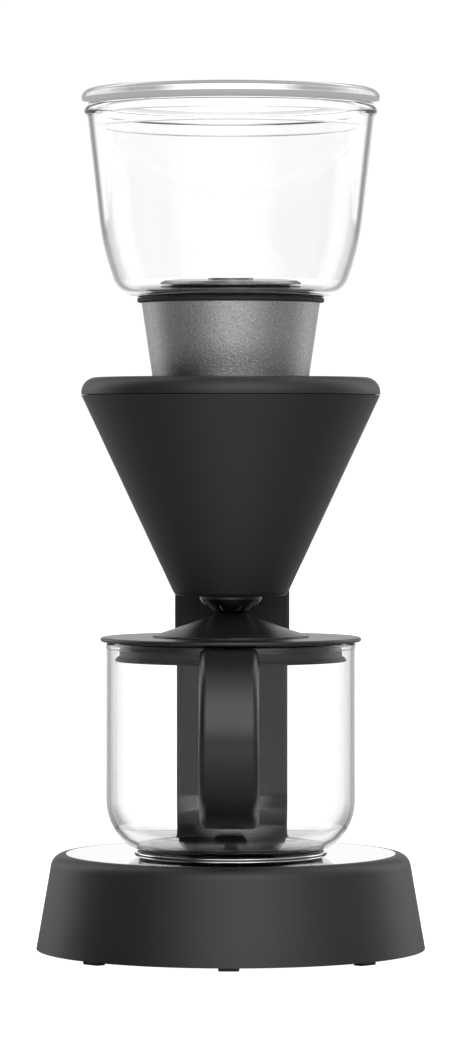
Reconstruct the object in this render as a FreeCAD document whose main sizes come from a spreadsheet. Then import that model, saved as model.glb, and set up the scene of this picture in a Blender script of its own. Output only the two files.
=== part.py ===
import FreeCAD, Part

import collections
import os
import re

import Sketcher

# A pour-over coffee brewer with a glass water tank on top, a slide-out filter holder and a glass
# carafe on a warming plate. Millimetres; +Z up, the origin on the table under the middle of the
# base, -Y is the front (the carafe's handle), +Y the column side.

# ---------------------------------------------------------------- driving dimensions
SIZES = {
    # base
    "base_r": 101.2, "base_low": 1.7, "base_top": 51.1, "base_slope": 0.174, "base_round": 7,
    "base_wall": 2.5, "flange_in": 92.5, "flange_top": 5.7, "ledge_in": 80, "ledge_thick": 2.5,
    "foot_r": 97, "foot_wide": 10.7, "foot_deep": 6, "foot_sink": 2, "foot_count": 8,
    "post_r": 4, "post_x": 71.9, "post_y": 41.5, "cover_r": 92.2, "cover_low": 2.2, "cover_thick": 2,
    "screw_r": 1.5, "screw_head": 3.1, "screw_long": 11, "fit_gap": 0.05,
    "shelf_low": 24, "shelf_thick": 4, "shelf_x": 33, "shelf_y": 66, "shelf_r": 95,
    "gland_z": 14, "gland_bore": 3.6, "gland_r": 4.6, "gland_flange": 6.6, "gland_seat": 97.9,
    "gland_end": 104, "gland_inner": 88, "gland_nut_y": 91.5, "gland_nut_long": 3,
    # plates on the base
    "plate_r": 85.8, "plate_thick": 1.2, "plate_gap": 0.3, "plate_hole": 46,
    "hot_r": 49.8, "hot_top": 52.1, "hot_low": 47.1, "hot_plug": 45.5, "seal_thick": 0.4,
    # flow heater
    "ring_in": 24, "ring_out": 45, "ring_low": 36, "water_ring": 30, "rod_ring": 39, "tube_z": 41.5,
    "water_r": 3.6, "rod_r": 3.2, "heater_turn": 300, "port_x": 15, "port_end": 44,
    "barb_r": 2.5, "barb_bore": 1.7, "hose_r": 4.2, "hose_bore": 2.6, "hose_start": 37,
    "hose_bend": 16, "boss_x": 11, "boss_r": 5, "clamp_thick": 1.8, "clamp_x": 43, "clamp_y": 7,
    "valve_r": 6.4, "valve_from": 54, "valve_to": 65,
    "board_x": 33, "board_front": -63, "board_back": -15, "board_z": 14, "board_thick": 1.6,
    # column
    "column_x": 30.6, "column_y": 70, "column_back": 94, "column_wall": 2.2, "column_round": 9,
    "column_bevel": 1.8, "column_clear": 1, "riser_y": 86.4, "rear_x": 20, "rear_low": 52,
    "rear_high": 262, "wide_top": 265, "relief_low": 240,
    "rear_screw_low": 104, "rear_screw_high": 240, "rear_post_r": 3.4,
    "stand_x": 24.4, "stand_y": 82, "stand_r": 4.6,
    "switch_z": 72, "switch_x": 9, "switch_high": 22, "rocker_x": 6.3, "rocker_high": 16.4,
    "rocker_tilt": 8, "rocker_y": 91, "rocker_pin": 1.2,
    # head
    "head_r": 77.7, "head_low": 289.8, "head_top": 298.7, "head_round": 7.8, "head_roof": 2.4,
    "rail_x": 64, "stem_wide": 3, "lip_wide": 8.2, "lip_thick": 1.9, "rail_gap": 0.3,
    "rail_half": 24, "bay_r": 54, "floor_r": 58, "floor_thick": 1.6,
    "duct_wide": 12, "duct_wall": 1, "spray_r": 22, "spray_thick": 1.5, "spray_hole": 0.9,
    "spray_pitch": 5.5, "chamber_r": 20.5, "head_screw_r": 48, "feed_up_y": 27, "collar_screw_r": 33,
    # collar and tank socket
    "collar_low": 40.7, "collar_high": 46.4, "collar_top": 337.5, "collar_wall": 3,
    "ring_seal_r": 48.6, "ring_seal_top": 339.95, "deck_z": 328, "deck_thick": 2.4, "deck_r": 41,
    "socket_r": 12.5, "socket_bore": 9.4, "socket_low": 312, "pin_r": 1.5, "pin_top": 322.8,
    "side_barb_z": 318,
    # tank
    "tank_low": 340.2, "tank_flare": 6.48, "tank_turn": 21.48, "tank_belly": 127.6,
    "tank_heel": 12.7, "tank_waist": 68.5, "tank_wall": 2.8, "tank_rim_z": 434.2,
    "bead_r": 2.6, "tank_hole": 16, "outlet_r": 36.7, "outlet_top": 347, "gasket_thick": 1.4,
    "outlet_bevel": 1.6, "cap_r": 11.7, "cap_thick": 2, "spigot_r": 8.6, "spigot_bore": 6.6,
    "spigot_low": 318, "nut_r": 24, "nut_thick": 4, "poppet_r": 5.4, "poppet_low": 323.1,
    "guide_z": 338, "guide_thick": 2, "stem_r": 1.5,
    "stem_top": 342, "tank_spring_r": 3.6, "spring_wire": 0.45,
    "lid_r": 77.7, "lid_bead": 4.25, "lid_low": 439.5, "lid_top": 446.6, "lid_thick": 3.4,
    "lid_plug": 70.2, "lid_plug_wall": 3, "lid_plug_low": 428,
    # filter holder
    "cone_r": 77.7, "cone_top": 289.4, "cone_slope": 0.467, "cone_low": 185.3, "cone_wall": 2.43,
    "cone_floor": 3, "cone_round": 3.5, "side_deck_x": 59, "side_deck_thick": 2.4,
    "outlet_hole": 9.2, "boss_ring": 12.5,
    "basket_gap": 0.5, "basket_wall": 1.3, "basket_low": 188.9, "basket_top": 251, "rib_count": 16,
    "dome_r": 19.4, "dome_z": 194.3, "dome_low": 176, "dome_side": 16.1, "dome_slots": 8,
    "dome_floor": 1.6, "plunger_r": 1.9, "plunger_low": 176, "plunger_seat": 190.9,
    "plunger_head": 7, "plunger_flange": 4.5, "plunger_flange_z": 181, "seat_bore": 4.2,
    # carafe
    "carafe_r": 65, "carafe_low": 52.4, "carafe_belly": 30.46, "carafe_heel": 21.25,
    "carafe_turn": 39.5, "carafe_wall": 2.4, "carafe_top": 160.9, "carafe_bead": 1.7,
    "handle_y": 104, "handle_r": 46.3, "handle_z": 114.5, "handle_thick": 11, "handle_wide": 30.2,
    "handle_round": 4, "pad_thick": 0.8, "pad_turn": 22, "pad_low": 150.5, "pad_high": 157,
    "pad_fall": 6.5, "raise_r": 34, "stand_ring_r": 39, "raise": 1.4,
    # carafe lid
    "disc_r": 67.9, "disc_low": 161.3, "disc_thick": 2.4, "insert_r": 40.6, "insert_top": 164.7,
    "mouth_r": 7.4, "mouth_top": 175.7, "mouth_wall": 2.2, "trumpet_r": 300, "neck_low": 156,
    "plug_r": 57.9, "plug_low": 153.5, "plug_wall": 2.4, "lip_r": 60.2, "lip_low": 151.3,
}

LEFT = 1
RIGHT = -1
Circle = collections.namedtuple("Circle", "x y radius")
WORD = re.compile(r"[a-z][a-z_]*")

doc = FreeCAD.newDocument("coffee_brewer")
sheet = doc.addObject("Spreadsheet::Sheet", "sizes")
for row, (alias, number) in enumerate(SIZES.items(), start=1):
    sheet.set(f"A{row}", alias)
    sheet.set(f"B{row}", str(number))
    sheet.setAlias(f"B{row}", alias)
doc.recompute()

pieces = []


# ---------------------------------------------------------------- small tools
def bound(expression):
    """The expression with each of its size names written as a reference to the sheet."""
    return WORD.sub(lambda word: "sizes." + word[0] if word[0] in SIZES else word[0], str(expression))


def value(expression):
    """The number that an expression in size names comes to."""
    return float(sheet.evalExpression(bound(expression)))


def bind(thing, setting, expression):
    """Binds a property to an expression in size names."""
    thing.setExpression(setting, bound(expression))


def place_point(sketch, constraints, bindings, geometry, end, x, y):
    """Holds one point of a sketch at (x, y), both given as expressions."""
    for kind, axis, expression in (("DistanceX", -2, x), ("DistanceY", -1, y)):
        if abs(value(expression)) < 1e-9:
            constraints.append(Sketcher.Constraint("PointOnObject", geometry, end, axis))
            bindings.append(None)
        else:
            constraints.append(Sketcher.Constraint(kind, -1, 1, geometry, end, value(expression)))
            bindings.append(expression)


def arc_between(start, end, radius, side):
    """The short arc from start to end whose centre lies left or right of the way."""
    chord = end - start
    rise = max(radius ** 2 - (chord.Length / 2) ** 2, 0) ** 0.5
    normal = FreeCAD.Vector(-chord.y, chord.x, 0).normalize()
    centre = (start + end) / 2 + normal * rise * side
    first, last = (start, end) if side == LEFT else (end, start)
    circle = Part.Circle(centre, FreeCAD.Vector(0, 0, 1), radius)
    return Part.ArcOfCircle(circle, circle.parameter(first), circle.parameter(last))


def draw_outline(sketch, corners, closed=True):
    """Draws straight edges and arcs from corner to corner and holds them by the sheet.

    A corner is (x, y), or (x, y, radius, side) where an arc arrives there."""
    points = [FreeCAD.Vector(value(corner[0]), value(corner[1]), 0) for corner in corners]
    constraints = []
    bindings = []
    edges = []
    for number in range(0 if closed else 1, len(corners)):
        corner = corners[number]
        start = points[number - 1]
        end = points[number]
        if len(corner) == 2:
            edge = sketch.addGeometry(Part.LineSegment(start, end), False)
            edges.append((edge, 1, 2))
        else:
            side = corner[3]
            edge = sketch.addGeometry(arc_between(start, end, value(corner[2]), side), False)
            edges.append((edge, 1, 2) if side == LEFT else (edge, 2, 1))
            constraints.append(Sketcher.Constraint("Radius", edge, value(corner[2])))
            bindings.append(corner[2])
        place_point(sketch, constraints, bindings, edge, edges[-1][2], corner[0], corner[1])
    if not closed:
        place_point(sketch, constraints, bindings, edges[0][0], edges[0][1], *corners[0][:2])
    followers = edges[1:] + edges[:1] if closed else edges[1:]
    for before, after in zip(edges, followers):
        constraints.append(Sketcher.Constraint("Coincident", before[0], before[2], after[0], after[1]))
        bindings.append(None)
    hold(sketch, constraints, bindings)


def draw_circle(sketch, figure):
    """Draws a full circle and holds it by the sheet."""
    centre = FreeCAD.Vector(value(figure.x), value(figure.y), 0)
    circle = Part.Circle(centre, FreeCAD.Vector(0, 0, 1), value(figure.radius))
    edge = sketch.addGeometry(circle, False)
    constraints = [Sketcher.Constraint("Radius", edge, value(figure.radius))]
    bindings = [figure.radius]
    place_point(sketch, constraints, bindings, edge, 3, figure.x, figure.y)
    hold(sketch, constraints, bindings)


def hold(sketch, constraints, bindings):
    """Adds the constraints and binds the sizes that they carry."""
    indexes = sketch.addConstraint(constraints)
    for index, expression in zip(indexes, bindings):
        if expression is not None:
            sketch.setExpression(f"Constraints[{index}]", bound(expression))


def new_body(label):
    """A piece of its own, which becomes the node of that name."""
    body = doc.addObject("PartDesign::Body", label)
    body.Label = label
    body.AllowCompound = True
    pieces.append(body)
    return body


def origin_feature(body, role):
    return next(feature for feature in body.Origin.OriginFeatures if feature.Role == role)


def sketch_on(body, plane, figures, at="0"):
    """A sketch on one of the body's own planes, moved to `at` along that plane's axis."""
    sketch = body.newObject("Sketcher::SketchObject", "sketch")
    sketch.AttachmentSupport = [(origin_feature(body, plane), "")]
    sketch.MapMode = "FlatFace"
    if plane == "XZ_Plane":
        at = f"-({at})"
    if value(at) != 0:
        bind(sketch, "AttachmentOffset.Base.z", at)
    for figure in figures:
        if isinstance(figure, Circle):
            draw_circle(sketch, figure)
        else:
            draw_outline(sketch, figure)
    return sketch


def pad(body, plane, figures, at, length):
    """Grows the figures from `at` towards the plane axis's positive end."""
    feature = body.newObject("PartDesign::Pad", "pad")
    feature.Profile = sketch_on(body, plane, figures, at)
    bind(feature, "Length", length)
    feature.Reversed = plane == "XZ_Plane"
    doc.recompute()
    return feature


def pocket(body, plane, figures, at, length):
    """Cuts the figures away from `at` towards the plane axis's positive end."""
    before = body.Shape.Volume
    feature = body.newObject("PartDesign::Pocket", "pocket")
    feature.Profile = sketch_on(body, plane, figures, at)
    bind(feature, "Length", length)
    feature.Reversed = plane != "XZ_Plane"
    doc.recompute()
    if feature.Shape.Volume > before - 1e-3:
        raise RuntimeError(f"{body.Label}: a pocket cuts nothing")
    return feature


def spin(body, corners, turn="360", figures=()):
    """Turns a half section about the Z axis, evenly to both sides of the section."""
    feature = body.newObject("PartDesign::Revolution", "revolution")
    feature.Profile = sketch_on(body, "XZ_Plane", [corners, *figures])
    feature.ReferenceAxis = (feature.Profile[0], ["V_Axis"])
    bind(feature, "Angle", turn)
    feature.Midplane = True
    doc.recompute()
    return feature


def groove(body, corners):
    """Cuts a half section away all round the Z axis."""
    before = body.Shape.Volume
    feature = body.newObject("PartDesign::Groove", "groove")
    feature.Profile = sketch_on(body, "XZ_Plane", [corners])
    feature.ReferenceAxis = (feature.Profile[0], ["V_Axis"])
    bind(feature, "Angle", "360")
    doc.recompute()
    if feature.Shape.Volume > before - 1e-3:
        raise RuntimeError(f"{body.Label}: a groove cuts nothing")
    return feature


def sweep(body, section, path):
    """Sweeps a section sketch along a three-edge path sketch."""
    pipe = body.newObject("PartDesign::AdditivePipe", "pipe")
    pipe.Profile = section
    pipe.Spine = (path, ["Edge1", "Edge2", "Edge3"])
    doc.recompute()
    return pipe


def repeat_round(body, feature, count):
    """Repeats a feature evenly about the Z axis."""
    pattern = body.newObject("PartDesign::PolarPattern", "pattern")
    pattern.Originals = [feature]
    pattern.Axis = (origin_feature(body, "Z_Axis"), [""])
    bind(pattern, "Occurrences", count)
    body.Tip = pattern
    doc.recompute()
    return pattern


def round_off(body, radius, chosen, kind="PartDesign::Fillet"):
    """Rounds or bevels the edges that `chosen` picks from the piece as it stands."""
    base = body.Tip
    names = [f"Edge{n}" for n, edge in enumerate(base.Shape.Edges, start=1) if chosen(edge)]
    if not names:
        raise RuntimeError(f"{body.Label}: no edge to round off")
    feature = body.newObject(kind, "rounding")
    feature.Base = (base, names)
    bind(feature, "Radius" if kind.endswith("Fillet") else "Size", radius)
    doc.recompute()
    return feature


def ring_edge(radius, height):
    """Picks the circular edges about the Z axis with this radius at this height."""
    wanted_r = value(radius)
    wanted_z = value(height)

    def chosen(edge):
        curve = edge.Curve
        if not isinstance(curve, Part.Circle) or abs(curve.Radius - wanted_r) > 0.02:
            return False
        return abs(curve.Center.z - wanted_z) < 0.02 and abs(curve.Center.x) + abs(curve.Center.y) < 0.02

    return chosen


def box(x_from, x_to, y_from, y_to):
    """A rectangle's corners."""
    return [(x_from, y_from), (x_to, y_from), (x_to, y_to), (x_from, y_to)]


def both_sides(x_from, x_to, y_from, y_to):
    """A rectangle and its mirror image across X = 0."""
    return [box(x_from, x_to, y_from, y_to), box(f"-({x_to})", f"-({x_from})", y_from, y_to)]


def circles_at(places, radius):
    return [Circle(x, y, radius) for x, y in places]


def mirrored(x, y):
    """The two points (x, y) and (-x, y)."""
    return [(x, y), (f"-({x})", y)]


def four_ways(x, y):
    """The four points (+-x, +-y)."""
    return mirrored(x, y) + mirrored(x, f"-({y})")


def countersunk_screws(label, places, low, head="screw_head", shank="screw_r", sink="cover_thick",
                       long="screw_long"):
    """Upright countersunk screws, heads down at height `low`, one at each place."""
    body = new_body(label)
    heads = pad(body, "XY_Plane", circles_at(places, f"{head} - fit_gap"), low, f"{sink} - fit_gap")
    heads.TaperAngle = -35
    pad(body, "XY_Plane", circles_at(places, shank), f"{low} + {sink} / 2", long)
    return body


# ---------------------------------------------------------------- base
OUTER_BASE = "base_r - base_slope * ({} - base_low)"
POSTS = four_ways("post_x", "post_y")


def make_base_shell():
    """Sloped round casing with a foot flange, a ledge for the plate and a notch for the column."""
    body = new_body("base_shell")
    top_r = OUTER_BASE.format("base_top")
    recess_r = "plate_r + plate_gap"
    seat = "base_top - plate_thick"
    under = "base_top - plate_thick - ledge_thick"
    spin(body, [
        ("flange_in", "base_low"), ("base_r", "base_low"), (top_r, "base_top"),
        (recess_r, "base_top"), (recess_r, seat), ("ledge_in", seat), ("ledge_in", under),
        (OUTER_BASE.format(f"({under})") + " - base_wall", under),
        (OUTER_BASE.format("flange_top") + " - base_wall", "flange_top"), ("flange_in", "flange_top"),
    ])
    round_off(body, "base_round", ring_edge(top_r, "base_top"))
    pad(body, "XY_Plane", circles_at(POSTS, "post_r"), "cover_low + cover_thick",
        f"{seat} - cover_low - cover_thick - 1")
    shelf_end = "sqrt(shelf_r ^ 2 - shelf_x ^ 2)"
    pad(body, "XY_Plane", [
        [("-shelf_x", "shelf_y"), ("shelf_x", "shelf_y"), ("shelf_x", shelf_end),
         ("-shelf_x", shelf_end, "shelf_r", LEFT)],
        box("-rear_x", "rear_x", "column_y + 4", "column_back - 4"),
    ], "shelf_low", "shelf_thick")
    pocket(body, "XY_Plane", [box("-column_x - plate_gap", "column_x + plate_gap",
                                  "column_y - plate_gap", "base_r + 5")],
           "shelf_low + shelf_thick", "base_top")
    pocket(body, "XY_Plane", circles_at(POSTS, "screw_r + fit_gap"), "cover_low", "screw_long + 3")
    pocket(body, "XY_Plane", circles_at(mirrored("stand_x", "stand_y"), "screw_r + fit_gap"),
           "shelf_low - 1", "shelf_thick + 2")
    socket = pocket(body, "XY_Plane", [box("-foot_wide / 2", "foot_wide / 2", "foot_r - foot_deep / 2",
                                           "foot_r + foot_deep / 2")], "base_low - 1", "foot_sink + 1")
    repeat_round(body, socket, "foot_count")
    pocket(body, "XZ_Plane", [Circle("0", "gland_z", "gland_r + fit_gap")], "gland_inner", "30")
    pocket(body, "XZ_Plane", [Circle("0", "gland_z", "gland_flange + 0.3")], "gland_seat", "20")


def make_base_feet():
    """Eight rubber pads pushed into sockets under the flange."""
    body = new_body("base_feet")
    foot = pad(body, "XY_Plane", [box("-foot_wide / 2 + fit_gap", "foot_wide / 2 - fit_gap",
                                      "foot_r - foot_deep / 2 + fit_gap",
                                      "foot_r + foot_deep / 2 - fit_gap")], "0", "base_low + foot_sink")
    repeat_round(body, foot, "foot_count")


def make_base_bottom_cover():
    """Bottom plate with vent slots and the moulded posts that carry the circuit board."""
    body = new_body("base_bottom_cover")
    pad(body, "XY_Plane", [Circle("0", "0", "cover_r")], "cover_low", "cover_thick")
    board_posts = mirrored("board_x - 5", "board_front + 5") + mirrored("board_x - 5", "board_back - 5")
    pad(body, "XY_Plane", circles_at(board_posts, "3"), "cover_low + cover_thick",
        "board_z - cover_low - cover_thick")
    cone = pocket(body, "XY_Plane", circles_at(POSTS, "screw_head"), "cover_low - 0.01", "cover_thick + 1")
    cone.TaperAngle = -35
    slots = [box(f"{x} - 1.5", f"{x} + 1.5", "20", "55") for x in range(-30, 31, 12)]
    pocket(body, "XY_Plane", slots, "cover_low - 1", "cover_thick + 2")


def make_trim_plate():
    """Mirror-polished ring plate, notched where the column stands."""
    body = new_body("trim_plate")
    pad(body, "XY_Plane", [Circle("0", "0", "plate_r"), Circle("0", "0", "plate_hole")],
        "base_top - plate_thick", "plate_thick")
    pocket(body, "XY_Plane", [box("-column_x - plate_gap", "column_x + plate_gap",
                                  "column_y - plate_gap", "base_r")],
           "base_top - plate_thick - 1", "plate_thick + 2")


def make_plate_seal():
    """Silicone ring under the rim of the warming plate."""
    body = new_body("plate_seal")
    spin(body, box("hot_plug + 0.2", "hot_r + 0.2", "base_top", "base_top + seal_thick"))


def make_warming_plate():
    """Warming plate: a flat disc with a plug below and two bosses for the heater clamp."""
    body = new_body("warming_plate")
    spin(body, [("0", "hot_low"), ("hot_plug", "hot_low"), ("hot_plug", "base_top + seal_thick"),
                ("hot_r", "base_top + seal_thick"), ("hot_r", "hot_top"), ("0", "hot_top")])
    round_off(body, "0.35", ring_edge("hot_r", "hot_top"))
    bosses = circles_at(mirrored("boss_x", "0"), "boss_r")
    pad(body, "XY_Plane", bosses, "ring_low", "hot_low - ring_low + 1")
    pocket(body, "XY_Plane", circles_at(mirrored("boss_x", "0"), "2"), "ring_low - 1", "9")


# ---------------------------------------------------------------- heater and electrics
def face_front(body):
    """Turns a piece that was built towards +X to face the front."""
    body.Placement = FreeCAD.Placement(FreeCAD.Vector(), FreeCAD.Rotation(FreeCAD.Vector(0, 0, 1), -90))


def make_heater_casting():
    """Open ring with a water way and a rod bore side by side, and two hose barbs at the ends."""
    body = new_body("heater_casting")
    spin(body, box("ring_in", "ring_out", "ring_low", "hot_low"), "heater_turn",
         [Circle("water_ring", "tube_z", "water_r"), Circle("rod_ring", "tube_z", "rod_r + fit_gap")])
    ports = []
    for y in ("port_x", "-port_x"):
        ports += [Circle(y, "tube_z", "barb_r"), Circle(y, "tube_z", "barb_bore")]
    pad(body, "YZ_Plane", ports, "-port_end", "port_end - water_ring * cos(180 - heater_turn / 2) + 1")
    face_front(body)


def make_heater_element():
    """Heating rod in the casting's outer bore, with a flat terminal on each end."""
    body = new_body("heater_element")
    ring = body.newObject("PartDesign::Revolution", "rod")
    ring.Profile = sketch_on(body, "XZ_Plane", [Circle("rod_ring", "tube_z", "rod_r")])
    ring.ReferenceAxis = (ring.Profile[0], ["V_Axis"])
    bind(ring, "Angle", "heater_turn")
    ring.Midplane = True
    doc.recompute()
    side = "rod_ring * sin(180 - heater_turn / 2) + 1.4"
    blades = both_sides(f"{side} - 0.5", f"{side} + 0.5", "tube_z - 2", "tube_z + 2")
    pad(body, "YZ_Plane", blades, "-rod_ring * cos(180 - heater_turn / 2) - 12", "9.6")
    face_front(body)


def make_heater_clamp():
    """Flat bar that holds the heater up against the warming plate."""
    body = new_body("heater_clamp")
    pad(body, "XY_Plane", [box("-clamp_x", "clamp_x", "-clamp_y", "clamp_y"),
                           *circles_at(mirrored("boss_x", "0"), "2.1")],
        "ring_low - clamp_thick", "clamp_thick")
    round_off(body, "3", lambda edge: edge.Length < value("clamp_thick") + 0.01)


def make_heater_screws():
    """Two pan-head screws through the clamp."""
    body = new_body("heater_screws")
    places = mirrored("boss_x", "0")
    pad(body, "XY_Plane", circles_at(places, "3.6"), "ring_low - clamp_thick - 2.4", "2.4")
    pad(body, "XY_Plane", circles_at(places, "1.95"), "ring_low - clamp_thick", "clamp_thick + 7")


def make_thermostat():
    """Disc thermostat hung under the clamp's left end, with two terminals."""
    body = new_body("thermostat")
    top = "ring_low - clamp_thick"
    spin(body, [("0", f"{top} - 8"), ("7.6", f"{top} - 8"), ("7.6", f"{top} - 2"), ("8.6", f"{top} - 2"),
                ("8.6", top), ("0", top)])
    pad(body, "XY_Plane", both_sides("3", "3.8", "-2.4", "2.4"), f"{top} - 14", "7")
    body.Placement = FreeCAD.Placement(FreeCAD.Vector(-value("clamp_x - 10"), 0, 0), FreeCAD.Rotation())


def make_thermal_fuse():
    """One-shot fuse in a sleeve, lying under the clamp's right end."""
    body = new_body("thermal_fuse")
    height = "ring_low - clamp_thick - 3.1"
    pad(body, "XZ_Plane", [Circle("0", height, "3")], "-8", "16")
    pad(body, "XZ_Plane", [Circle("0", height, "0.6")], "-20", "40")
    body.Placement = FreeCAD.Placement(FreeCAD.Vector(value("clamp_x - 12"), 0, 0), FreeCAD.Rotation())


def make_control_board():
    """Circuit board with its relay, capacitors and small soldered parts."""
    body = new_body("control_board")
    top = "board_z + board_thick"
    chips = [box("-29", "-22", "-50", "-40"), box("12", "20", "-48", "-44"), box("12", "20", "-40", "-36"),
             box("-28", "-20", "-32", "-26")]
    capacitors = [Circle("-8", "-54", "5"), Circle("5", "-54", "5")]
    relay = box("-12", "7", "-44", "-28")
    pad(body, "XY_Plane", [box("-board_x", "board_x", "board_front", "board_back")], "board_z", "board_thick")
    pad(body, "XY_Plane", chips, top, "2.6")
    pad(body, "XY_Plane", capacitors, top, "11")
    pad(body, "XY_Plane", [relay], top, "15")


def make_terminal_block():
    """Four-way screw terminal on the board's rear edge."""
    body = new_body("terminal_block")
    top = "board_z + board_thick"
    pad(body, "XY_Plane", [box("-14", "18", "board_back - 10", "board_back - 1")], top, "11")
    wells = circles_at([(f"{x}", "board_back - 5.5") for x in (-10, -2, 6, 14)], "2.2")
    pocket(body, "XY_Plane", wells, f"{top} + 5.4", "8")


def make_cord_gland():
    """Sleeve with an outside flange for the supply cord, in the base's rear wall."""
    body = new_body("cord_gland")
    spin(body, [("gland_bore", "gland_inner"), ("gland_r", "gland_inner"), ("gland_r", "gland_seat"),
                ("gland_flange", "gland_seat"), ("gland_flange", "gland_seat + 1.6"),
                ("gland_r + 1", "gland_seat + 1.6"), ("gland_r + 0.4", "gland_end"),
                ("gland_bore", "gland_end")])
    lay_along_y(body, "gland_z")


def make_gland_nut():
    """Round nut that holds the gland from inside."""
    body = new_body("gland_nut")
    spin(body, box("gland_r + fit_gap", "gland_flange", "gland_nut_y", "gland_nut_y + gland_nut_long"))
    lay_along_y(body, "gland_z")


def lay_along_y(body, height):
    """Lays a piece that was turned about Z along +Y at a height."""
    turn = FreeCAD.Rotation(FreeCAD.Vector(1, 0, 0), -90)
    body.Placement = FreeCAD.Placement(FreeCAD.Vector(0, 0, value(height)), turn)


# ---------------------------------------------------------------- hoses
def make_hose(label, x, y_from, z_end):
    """Hose from a barb under the warming plate, round one bend and up the column."""
    body = new_body(label)
    path = sketch_on(body, "YZ_Plane", [], x)
    draw_outline(path, [(y_from, "tube_z"), ("riser_y - hose_bend", "tube_z"),
                        ("riser_y", "tube_z + hose_bend", "hose_bend", LEFT), ("riser_y", z_end)],
                 closed=False)
    rings = [Circle(x, "tube_z", "hose_r"), Circle(x, "tube_z", "hose_bore")]
    sweep(body, sketch_on(body, "XZ_Plane", rings, y_from), path)


def make_heater_inlet_hose():
    """Short straight hose between the check valve and the heater."""
    body = new_body("heater_inlet_hose")
    pad(body, "XZ_Plane", [Circle("-port_x", "tube_z", "hose_r"), Circle("-port_x", "tube_z", "hose_bore")],
        "hose_start", "valve_from - hose_start")


def make_check_valve():
    """In-line check valve that keeps steam out of the tank side."""
    body = new_body("check_valve")
    ends = [Circle("-port_x", "tube_z", "barb_r"), Circle("-port_x", "tube_z", "barb_bore")]
    pad(body, "XZ_Plane", ends, "valve_from - 8", "valve_to - valve_from + 13")
    shell = [Circle("-port_x", "tube_z", "valve_r"), Circle("-port_x", "tube_z", "barb_bore")]
    pad(body, "XZ_Plane", shell, "valve_from", "valve_to - valve_from")
    round_off(body, "1.5", lambda edge: isinstance(edge.Curve, Part.Circle)
              and abs(edge.Curve.Radius - value("valve_r")) < 0.01)


def make_hose_clamps():
    """Spring bands round the hose ends."""
    body = new_body("hose_clamps")
    flat = []
    for x in ("port_x", "-port_x"):
        flat.append([Circle(x, "tube_z", "hose_r + 0.9"), Circle(x, "tube_z", "hose_r + fit_gap")])
    for figures, y in ((flat[0], "hose_start + 3"), (flat[1], "hose_start + 3"),
                       (flat[1], "valve_from - 6"), (flat[1], "valve_to + 1")):
        pad(body, "XZ_Plane", figures, y, "3")
    for x in ("port_x", "-port_x"):
        rings = [Circle(x, "riser_y", "hose_r + 0.9"), Circle(x, "riser_y", "hose_r + fit_gap")]
        pad(body, "XY_Plane", rings, "head_low - 12", "3")


# ---------------------------------------------------------------- column
def column_plan(inset="0"):
    """The column's outline: bevelled at the front, rounded at the back."""
    side = f"column_x - ({inset})"
    front = f"column_y + ({inset})"
    back = f"column_back - ({inset})"
    turn = f"column_round - ({inset})"
    cut = f"column_bevel - ({inset}) / 3"
    return [
        (f"-({side}) + ({cut})", front), (f"{side} - ({cut})", front), (side, f"{front} + ({cut})"),
        (side, f"{back} - ({turn})"), (f"{side} - ({turn})", back, turn, LEFT),
        (f"-({side}) + ({turn})", back), (f"-({side})", f"{back} - ({turn})", turn, LEFT),
        (f"-({side})", f"{front} + ({cut})"),
    ]


REAR_SCREWS = [("0", "rear_screw_low"), ("0", "rear_screw_high")]
CONE_OUTER = "cone_r - cone_slope * (cone_top - ({}))"


def make_column_shell():
    """Hollow upright with a conical relief behind the filter holder and a window at the back."""
    body = new_body("column_shell")
    low = "(shelf_low + shelf_thick)"
    pad(body, "XY_Plane", [column_plan()], low, f"cone_top - {low}")
    pocket(body, "XY_Plane", [column_plan("column_wall")], f"{low} - 1", f"wide_top - {low} + 1")
    pocket(body, "XY_Plane", [box("-column_x + column_wall", "column_x - column_wall", "81",
                                  "column_back - column_wall")], "wide_top - 1", "40")
    groove(body, [("0", "relief_low"), (CONE_OUTER.format("relief_low") + " + column_clear", "relief_low"),
                  (CONE_OUTER.format("head_top") + " + column_clear", "head_top"), ("0", "head_top")])
    pocket(body, "XZ_Plane", [box("-rear_x - 0.2", "rear_x + 0.2", "rear_low - 0.2", "rear_high + 0.2")],
           "column_back - 4", "10")
    pocket(body, "XZ_Plane", [box("-22", "22", "32", "47")], "column_y - 1", "column_wall + 2")
    stands = mirrored("stand_x", "stand_y")
    pad(body, "XY_Plane", circles_at(stands, "stand_r"), low, "12")
    pocket(body, "XY_Plane", circles_at(stands, "screw_r + fit_gap"), f"{low} - 1", "11")
    tubes = circles_at(REAR_SCREWS, "rear_post_r") + circles_at(REAR_SCREWS, "screw_r + fit_gap")
    pad(body, "XZ_Plane", tubes, "column_y + 1", "column_back - column_wall - column_y - 1")


def make_column_rear_cover():
    """Flat cover that closes the column's service window, with the switch opening."""
    body = new_body("column_rear_cover")
    pad(body, "XZ_Plane", [box("-rear_x", "rear_x", "rear_low", "rear_high")],
        "column_back - column_wall", "column_wall")
    pocket(body, "XZ_Plane", [box("-switch_x - 0.1", "switch_x + 0.1", "switch_z - switch_high / 2 - 0.1",
                                  "switch_z + switch_high / 2 + 0.1")], "column_back - 4", "8")
    pocket(body, "XZ_Plane", circles_at(REAR_SCREWS, "screw_r + 0.2"), "column_back - 4", "8")
    slots = [box("-12", "12", f"{z}", f"{z} + 2") for z in range(124, 160, 6)]
    pocket(body, "XZ_Plane", slots, "column_back - 4", "8")


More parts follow.
